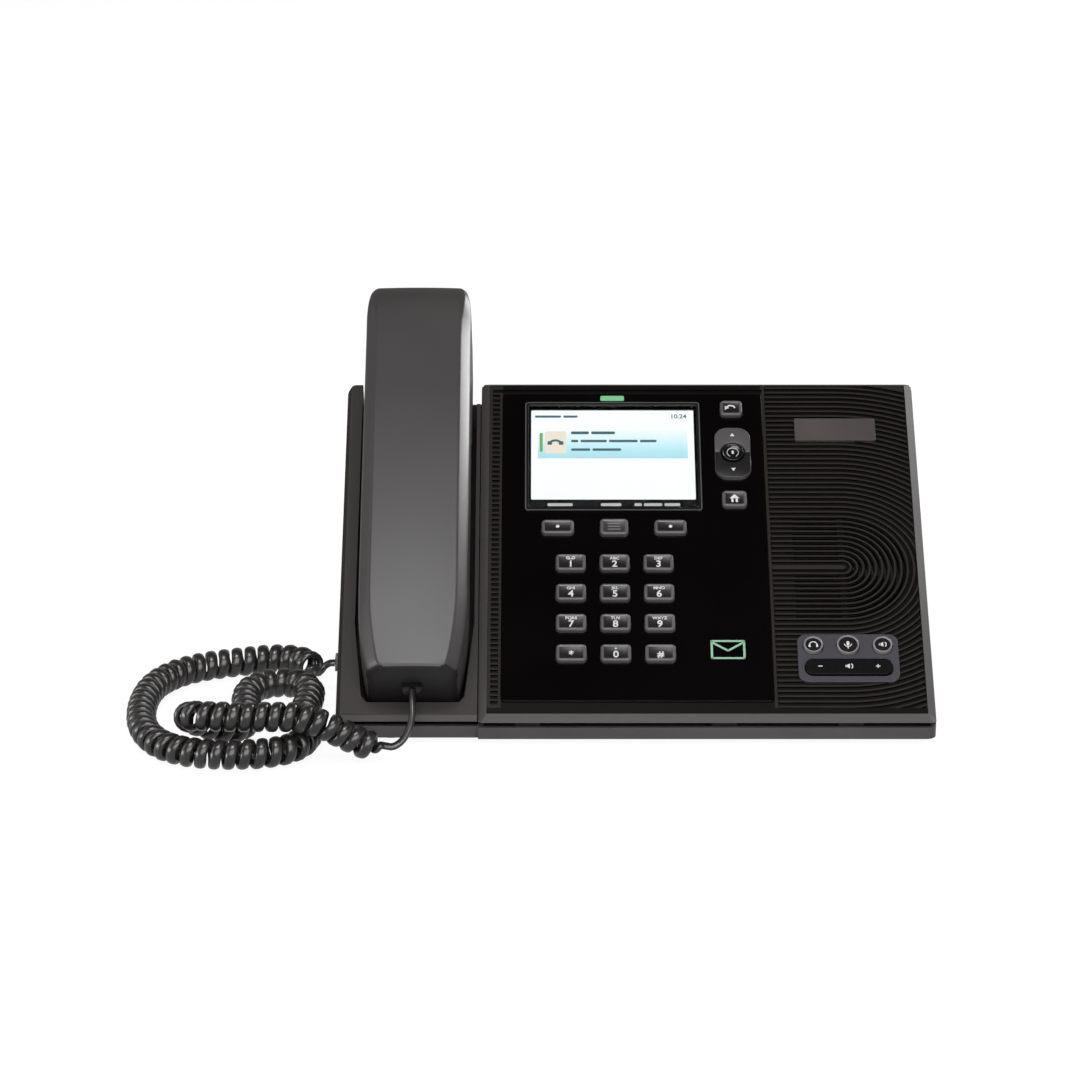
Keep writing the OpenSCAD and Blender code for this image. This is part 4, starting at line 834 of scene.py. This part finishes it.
# keys

keyStyle = {
    "edge": 0.9 * mm, "rim": 0.5 * mm, "dish": 0.25 * mm, "corner": 1.8 * mm, "flange": 0.9 * mm,
    "digit": 4.6 * mm, "digitDown": 1.15 * mm, "letters": 2.0 * mm, "lettersUp": 1.85 * mm,
}
roundStyle = {"edge": 0.25 * mm, "dish": 0.45 * mm, "flange": 0.6 * mm, "segments": 48}
# measured down from the underside of what the key stands in
underKey = {"skirt": 0.4 * mm, "flangeTop": 0.35 * mm, "flangeUnder": 1.75 * mm, "stemTop": 1.6 * mm,
            "stemRadius": 2.2 * mm}
navStyle = {"edge": 0.8 * mm, "arrowReach": 5.2 * mm, "arrowShift": 4.0 * mm, "arrow": 1.1 * mm}
panelUnder, panelTop = panelLow.z, panelHigh.z
dialLegends = [("1", ""), ("2", "ABC"), ("3", "DEF"), ("4", "GHI"), ("5", "JKL"), ("6", "MNO"),
               ("7", "PQRS"), ("8", "TUV"), ("9", "WXYZ"), ("*", ""), ("0", "+"), ("#", "")]


def capOutline(node):
    # the cap is the part of the key above the panel
    points = [faceInverse @ v.co for v in nodes[node].data.vertices]
    cap = [p for p in points if p.z > panelTop]
    low = [min(p[i] for p in cap) for i in range(2)]
    high = [max(p[i] for p in cap) for i in range(2)]
    centre = ((low[0] + high[0]) / 2, (low[1] + high[1]) / 2)
    return centre, (high[0] - low[0], high[1] - low[1]), max(p.z for p in cap), min(p.z for p in points)


def dishFace(bm, made, rim, depth):
    # the flat of the key is set in from a rim and sunk
    flat = max(made, key=lambda f: f.calc_center_median().z)
    bmesh.ops.inset_region(bm, faces=[flat], thickness=rim, depth=0)
    flat.material_index = 0
    bmesh.ops.translate(bm, verts=list(flat.verts), vec=(0, 0, -depth))


def addStem(bm, centre, bottom, underside):
    disc(bm, centre, underKey["stemRadius"], bottom, underside - underKey["stemTop"], 20, material=1)


def addLegend(node, draw, centre, height, ink="legend"):
    bm = bmesh.new()
    draw(bm, centre, height)
    addPiece(node + "_legend", bm, [ink], node, faceMatrix, 0)


def keyCap(node, legend, faceFinish="keyFace", ink="legend"):
    s, u = keyStyle, underKey
    centre, size, top, bottom = capOutline(node)
    bm = bmesh.new()
    # the sides and rim take the rim colour, a painted highlight
    made = slab(bm, centre, size, panelUnder - u["skirt"], top, s["corner"], s["edge"], 5, 8, 1)
    dishFace(bm, made, s["rim"], s["dish"])
    flange = (size[0] + 2 * s["flange"], size[1] + 2 * s["flange"])
    slab(bm, centre, flange, panelUnder - u["flangeUnder"], panelUnder - u["flangeTop"], s["corner"],
         material=1)
    addStem(bm, centre, bottom, panelUnder)
    piece = addPiece(node + "_cap", bm, [faceFinish, "keyRimHighlight"], node, faceMatrix, 40)
    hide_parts(node)
    addLegend(node, legend, centre, top - s["dish"], ink)


def roundCap(node, legend, underside, rim, faceFinish, rimFinish):
    # a round key: side wall and thin rim, dished face, flange and stem below
    s, u = roundStyle, underKey
    centre, size, top, bottom = capOutline(node)
    radius = size[0] / 2
    bm = bmesh.new()
    made = disc(bm, centre, radius, underside - u["skirt"], top, s["segments"], s["edge"], 1)
    dishFace(bm, made, rim, s["dish"])
    disc(bm, centre, radius + s["flange"], underside - u["flangeUnder"], underside - u["flangeTop"],
         s["segments"], material=1)
    addStem(bm, centre, bottom, underside)
    piece = addPiece(node + "_cap", bm, [faceFinish, rimFinish], node, faceMatrix, 40)
    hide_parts(node)
    addLegend(node, legend, centre, top - s["dish"])


def padKey(node, faceFinish):
    # half of the navigation pad: the solid with its top edge rounded
    bm = bmesh.new()
    bm.from_mesh(nodes[node].data)
    bm.transform(faceInverse)
    bmesh.ops.remove_doubles(bm, verts=bm.verts, dist=0.005 * mm)
    bmesh.ops.dissolve_limit(bm, angle_limit=math.radians(1), verts=bm.verts, edges=bm.edges)
    top = max(v.co.z for v in bm.verts)
    crown = [f for f in bm.faces if f.normal.z > 0.9 and f.calc_center_median().z > top - 0.05 * mm]
    # the pad's sides and rounded edge take the rim colour, a painted highlight
    for f in bm.faces:
        f.material_index = 1
    crown[0].material_index = 0
    bmesh.ops.bevel(bm, geom=list(crown[0].edges), offset=navStyle["edge"], segments=4, profile=0.5,
                    affect="EDGES", material=-1, clamp_overlap=True)
    piece = addPiece(node + "_cap", bm, [faceFinish, "keyRimHighlight"], node, faceMatrix, 40)
    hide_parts(node)


def inkBar(bm, centre, size, height, corner=0, depth=inkDepth):
    slab(bm, centre, size, height, height + depth, corner)


def inkArc(bm, centre, outer, inner, height, start=0, sweep=360, steps=16, depth=inkDepth):
    ringBand(bm, centre, outer, inner, height, height + depth, start, sweep, steps)


def inkTriangle(bm, centre, radius, height, turn=0, squash=1):
    # its point is up the slope before the turn, in degrees
    made = bmesh.ops.create_cone(bm, cap_ends=True, segments=3, radius1=radius, radius2=radius,
                                 depth=inkDepth)["verts"]
    bmesh.ops.scale(bm, verts=made, vec=(1, squash, 1))
    place = Matrix.Translation((*centre, height + inkDepth / 2)) @ Matrix.Rotation(math.radians(turn), 4, "Z")
    bmesh.ops.transform(bm, matrix=place, verts=made)


def digitLegend(digit, letters):
    def draw(bm, centre, height):
        s = keyStyle
        x, l = centre
        textInto(bm, digit, s["digit"], (x, l - s["digitDown"]), height + inkDepth / 2)
        if letters:
            textInto(bm, letters, s["letters"], (x, l + s["lettersUp"]), height + inkDepth / 2)
        if digit == "1":  # two reels and the tape between them
            for side in (-1, 1):
                inkArc(bm, (x + side * 1.1 * mm, l + 2.1 * mm), 0.75 * mm, 0.4 * mm, height, depth=0.05 * mm)
            inkBar(bm, (x, l + 1.5 * mm), (2.2 * mm, 0.35 * mm), height)
    return draw


def dotLegend(bm, centre, height):
    disc(bm, centre, 0.75 * mm, height, height + inkDepth, 20)


def barsLegend(bm, centre, height):
    for i in (-1, 0, 1):
        inkBar(bm, (centre[0], centre[1] + i * 1.5 * mm), (5.2 * mm, 0.55 * mm), height, 0.1 * mm)


def arrowLegend(direction):
    def draw(bm, centre, height):
        tip = (centre[0], centre[1] + direction * navStyle["arrowShift"])
        inkTriangle(bm, tip, navStyle["arrow"], height, 0 if direction > 0 else 180)
    return draw


def returnLegend(bm, centre, height):
    x, l = centre
    inkArc(bm, (x - 0.2 * mm, l - 0.7 * mm), 2.2 * mm, 1.5 * mm, height, 15, 140, 18)
    inkTriangle(bm, (x - 2.0 * mm, l - 0.1 * mm), 1.2 * mm, height, 150)


def homeLegend(bm, centre, height):
    x, l = centre
    inkTriangle(bm, (x, l + 0.7 * mm), 2.4 * mm, height, squash=0.62)
    for side in (-1, 1):
        inkBar(bm, (x + side * 0.9 * mm, l - 1.1 * mm), (0.9 * mm, 1.9 * mm), height)


def selectLegend(bm, centre, height):
    inkBar(bm, centre, (0.9 * mm, 1.8 * mm), height, 0.4 * mm)
    inkArc(bm, centre, 2.5 * mm, 2.27 * mm, height, -60, 300, 32, depth=0.05 * mm)


def makeKeys():
    for i, (digit, letters) in enumerate(dialLegends, 1):
        keyCap("dial_key_%d" % i, digitLegend(digit, letters))
    keyCap("soft_key_left", dotLegend)
    keyCap("soft_key_middle", barsLegend, "menuFace", "greyInk")
    keyCap("soft_key_right", dotLegend)
    keyCap("back_key", returnLegend)
    keyCap("home_key", homeLegend)
    padKey("nav_up_key", "navUp")
    padKey("nav_down_key", "navDown")
    roundCap("select_key", selectLegend, panelUnder, 0.7 * mm, "select", "select")
    print("keys modelled")


def navLegends():
    low, high = faceBox("nav_up_key")
    selectLow, selectHigh = faceBox("select_key")
    x, middle = (low.x + high.x) / 2, (selectLow.y + selectHigh.y) / 2
    for node, direction in (("nav_up_key", 1), ("nav_down_key", -1)):
        addLegend(node, arrowLegend(direction), (x, middle + direction * navStyle["arrowReach"]), high.z)


makeKeys()
navLegends()

# audio keys

audioStyle = {"plate": 2 * mm, "rim": 0.45 * mm, "reach": 11.6 * mm, "sign": (1.8 * mm, 0.4 * mm)}
plateUnder = faceBox("audio_key_plate")[1].z - audioStyle["plate"]


def headsetMark(bm, centre, height):
    x, l = centre
    inkArc(bm, (x, l - 0.2 * mm), 1.7 * mm, 1.3 * mm, height, 0, 180, 20)
    for side in (-1, 1):
        inkBar(bm, (x + side * 1.5 * mm, l - 0.7 * mm), (0.8 * mm, 1.3 * mm), height, 0.2 * mm)


def muteMark(bm, centre, height):
    x, l = centre
    inkBar(bm, (x, l + 0.5 * mm), (1.1 * mm, 2.2 * mm), height, 0.5 * mm)
    inkArc(bm, (x, l + 0.3 * mm), 1.6 * mm, 1.25 * mm, height, 180, 180, 18)
    inkBar(bm, (x, l - 1.7 * mm), (0.35 * mm, 0.9 * mm), height)


def speakerMark(bm, centre, height):
    x, l = centre
    inkBar(bm, (x - 1.1 * mm, l), (0.8 * mm, 1.0 * mm), height, 0.1 * mm)
    inkTriangle(bm, (x - 0.4 * mm, l), 1.3 * mm, height, 90)
    inkArc(bm, (x - 0.2 * mm, l), 1.8 * mm, 1.4 * mm, height, -45, 90, 12)


def makeAudioKeys():
    s = audioStyle
    for name, draw in (("headset_key", headsetMark), ("mute_key", muteMark), ("speaker_key", speakerMark)):
        roundCap(name, draw, plateUnder, s["rim"], "audioFace", "audioRim")
    low, high = faceBox("volume_rocker")
    x, l = (low.x + high.x) / 2, (low.y + high.y) / 2
    bm = bmesh.new()
    for side in (-1, 1):
        inkBar(bm, (x + side * s["reach"], l), s["sign"], high.z)
    inkBar(bm, (x + s["reach"], l), s["sign"][::-1], high.z, depth=0.07 * mm)
    speakerMark(bm, (x, l), high.z)
    addPiece("volume_legend", bm, ["legend"], "volume_rocker", faceMatrix, 0)
    print("audio keys marked")


makeAudioKeys()

# display picture

displayStyle = {
    "strip": 6.1 * mm, "side": 1.0 * mm, "head": 1.2 * mm, "lift": 0.02 * mm, "corner": 0.6 * mm,
    "bandTop": 10.5 * mm, "bandFoot": 26.4 * mm, "bandMargins": 5.6 * mm,
    "tile": (9 * mm, 12 * mm), "tileAt": (10.2 * mm, 17.6 * mm),
    "status": (1.3 * mm, 10.2 * mm), "statusAt": 4.2 * mm,
    "wordsRight": 6.6 * mm, "headline": 3.4 * mm, "clock": "10:24", "clockSize": 3.1 * mm, "wordGap": 1.0,
    # height above the tile's middle, bar height, word widths in mm
    "words": [(5.2, 1.5, (7.5, 10)), (0.7, 1.3, (3, 11, 12, 7)), (-4.0, 1.3, (8, 12))],
    # start from the left, word widths in mm
    "labels": [(6.8, (10.5,)), (29, (8.5,)), (43, (3, 7.5, 6.5))],
    "line": 0.45 * mm, "lineDepth": 0.5 * mm, "lineCorner": 1.4 * mm,
}
bandShades = [(0.0, (0.40, 0.66, 0.76)), (0.25, (0.42, 0.76, 0.83)), (0.55, (0.62, 0.85, 0.90)),
              (1.0, (0.90, 0.92, 0.94))]
finish["picture"] = glowing("displayPicture", (0.90, 0.92, 0.94), 1.0, 0.98)
finish["pictureTile"] = glowing("displayTile", (0.80, 0.74, 0.62), 1.0, 0.95)
finish["pictureDark"] = mouldedPlastic("displayDark", (0.003, 0.003, 0.003), rough=0.3, edge=0)
finish["pictureText"] = glowing("displayText", (0.05, 0.13, 0.16), 1.0)
finish["pictureGreen"] = glowing("displayGreen", (0.20, 0.42, 0.14), 1.0)
finish["pictureLabel"] = glowing("displayLabel", (0.50, 0.50, 0.50), 1.0)


def bandFinish():
    # the lit band: white above, pale cyan below, from the shade that the mesh carries
    material, tree, shader = newMaterial("displayBand")
    layer = tree.nodes.new("ShaderNodeVertexColor")
    layer.layer_name = "shade"
    parts = tree.nodes.new("ShaderNodeSeparateColor")
    tree.links.new(layer.outputs["Color"], parts.inputs[0])
    ramp = tree.nodes.new("ShaderNodeValToRGB")
    while len(ramp.color_ramp.elements) < len(bandShades):
        ramp.color_ramp.elements.new(0.5)
    for element, (position, colour) in zip(ramp.color_ramp.elements, bandShades):
        element.position = position
        element.color = (*colour, 1)
    tree.links.new(parts.outputs["Red"], ramp.inputs["Fac"])
    tree.links.new(ramp.outputs["Color"], shader.inputs["Emission Color"])
    shader.inputs["Base Color"].default_value = (0.05, 0.07, 0.08, 1)
    shader.inputs["Emission Strength"].default_value = 1
    return material


finish["pictureBand"] = bandFinish()


def wordRow(bm, x, l, widths, height, z0, z1):
    # a line of text shown as word-length bars
    for width in widths:
        slab(bm, (x + width * mm / 2, l), (width * mm, height), z0, z1, height * 0.3, cornerSegments=2)
        x += (width + displayStyle["wordGap"]) * mm


def makeDisplay():
    s = displayStyle
    windowLow, windowHigh = faceBox("display_window")
    level = faceBox("lcd_module")[1].z
    l0, l1 = windowLow.y, windowHigh.y - s["head"]
    x0, x1 = windowLow.x + s["side"], windowHigh.x - s["side"]
    bottom = l0 + s["strip"]
    centreX = (x0 + x1) / 2
    z = [level + i * s["lift"] for i in range(6)]

    def addFlat(name, material, bm):
        addPiece(name, bm, [material], "base", faceMatrix, 0)

    def plate(name, material, centre, size, layer, corner):
        bm = bmesh.new()
        slab(bm, centre, size, z[layer], z[layer + 1], corner)
        addFlat(name, material, bm)

    plate("displayPicture", "picture", (centreX, (bottom + l1) / 2), (x1 - x0, l1 - bottom), 0, s["corner"])
    plate("displayStrip", "pictureDark", (centreX, (l0 + bottom) / 2), (x1 - x0, s["strip"]), 0, 0)

    bandHigh, bandLow = l1 - s["bandTop"], l1 - s["bandFoot"]
    bm = bmesh.new()
    bandSize = (x1 - x0 - s["bandMargins"], bandHigh - bandLow)
    slab(bm, (centreX, (bandLow + bandHigh) / 2), bandSize, z[1], z[2], 0.3 * mm)
    shade = bm.loops.layers.color.new("shade")
    for f in bm.faces:
        for loop in f.loops:
            t = (loop.vert.co.y - bandLow) / (bandHigh - bandLow)
            loop[shade] = (t, t, t, 1)
    addFlat("displayBand", "pictureBand", bm)

    tileX, tileL = x0 + s["tileAt"][0], l1 - s["tileAt"][1]
    plate("displayTile", "pictureTile", (tileX, tileL), s["tile"], 2, 0.8 * mm)
    plate("displayStatus", "pictureGreen", (x0 + s["statusAt"], tileL), s["status"], 2, 0.2 * mm)

    bm = bmesh.new()
    for up, height, widths in s["words"]:
        wordRow(bm, tileX + s["wordsRight"], tileL + up * mm, widths, height * mm, z[2], z[4])
    headline = l1 - s["headline"]
    wordRow(bm, x0 + 1.6 * mm, headline, (11, 6), 1.2 * mm, z[1], z[2])
    textInto(bm, s["clock"], s["clockSize"], (x1 - 6.4 * mm, headline), z[2], 0.02 * mm)
    # the handset sign of a call, on the tile
    ringBand(bm, (tileX, tileL - 1.6 * mm), 3.2 * mm, 2.1 * mm, z[3], z[4], 25, 130, 20)
    for side in (-1, 1):
        slab(bm, (tileX + side * 2.4 * mm, tileL - 0.4 * mm), (1.9 * mm, 1.9 * mm), z[3], z[4], 0.4 * mm)
    addFlat("displayText", "pictureText", bm)

    bm = bmesh.new()
    for start, widths in s["labels"]:
        wordRow(bm, x0 + start * mm, l0 + s["strip"] * 0.55, widths, 1.5 * mm, z[1], z[3])
    addFlat("displaySoftLabels", "pictureLabel", bm)
    print("display drawn")


def makeTrimLine():
    # the fine bright line round the trim: a plate inset on both sides and opened
    s = displayStyle
    low, high = faceBox("display_trim")
    centre = ((low.x + high.x) / 2, (low.y + high.y) / 2)
    bm = bmesh.new()
    made = slab(bm, centre, (high.x - low.x, high.y - low.y), high.z - s["lineDepth"], high.z + 0.02 * mm,
                s["lineCorner"])
    upper = max(made, key=lambda f: f.calc_center_median().z)
    under = min(made, key=lambda f: f.calc_center_median().z)
    bmesh.ops.inset_region(bm, faces=[upper, under], thickness=s["line"], depth=0)
    bmesh.ops.delete(bm, geom=[upper, under], context="FACES_ONLY")
    bmesh.ops.bridge_loops(bm, edges=[e for e in bm.edges if len(e.link_faces) == 1])
    addPiece("displayLine", bm, ["trimLine"], "base", faceMatrix, 0)


makeDisplay()
makeTrimLine()

# green message mark on the panel, a plain envelope

markStyle = {
    "centre": (37.6 * mm, 31.7 * mm), "size": (14 * mm, 9.5 * mm), "line": 0.9 * mm, "depth": 0.05 * mm,
    "flap": 8.2 * mm, "flapAt": (3.3 * mm, 1.6 * mm), "flapTurn": 0.58,
}


def makeMark():
    s = markStyle
    x, l = s["centre"]
    w, h = s["size"]
    z0, z1 = panelTop, panelTop + s["depth"]
    bm = bmesh.new()
    for side in (-1, 1):
        slab(bm, (x + side * (w - s["line"]) / 2, l), (s["line"], h), z0, z1, 0.3 * mm)
        slab(bm, (x, l + side * (h - s["line"]) / 2), (w, s["line"]), z0, z1, 0.3 * mm)
        flap = slab(bm, (0, 0), (s["flap"], s["line"]), z0, z1, 0.2 * mm)
        place = Matrix.Translation((x + side * s["flapAt"][0], l + s["flapAt"][1], 0))
        place @= Matrix.Rotation(side * s["flapTurn"], 4, "Z")
        bmesh.ops.transform(bm, matrix=place, verts=list({v for f in flap for v in f.verts}))
    addPiece("messageMark", bm, ["greenInk"], "base", faceMatrix, 0)


makeMark()
print("panel mark made")
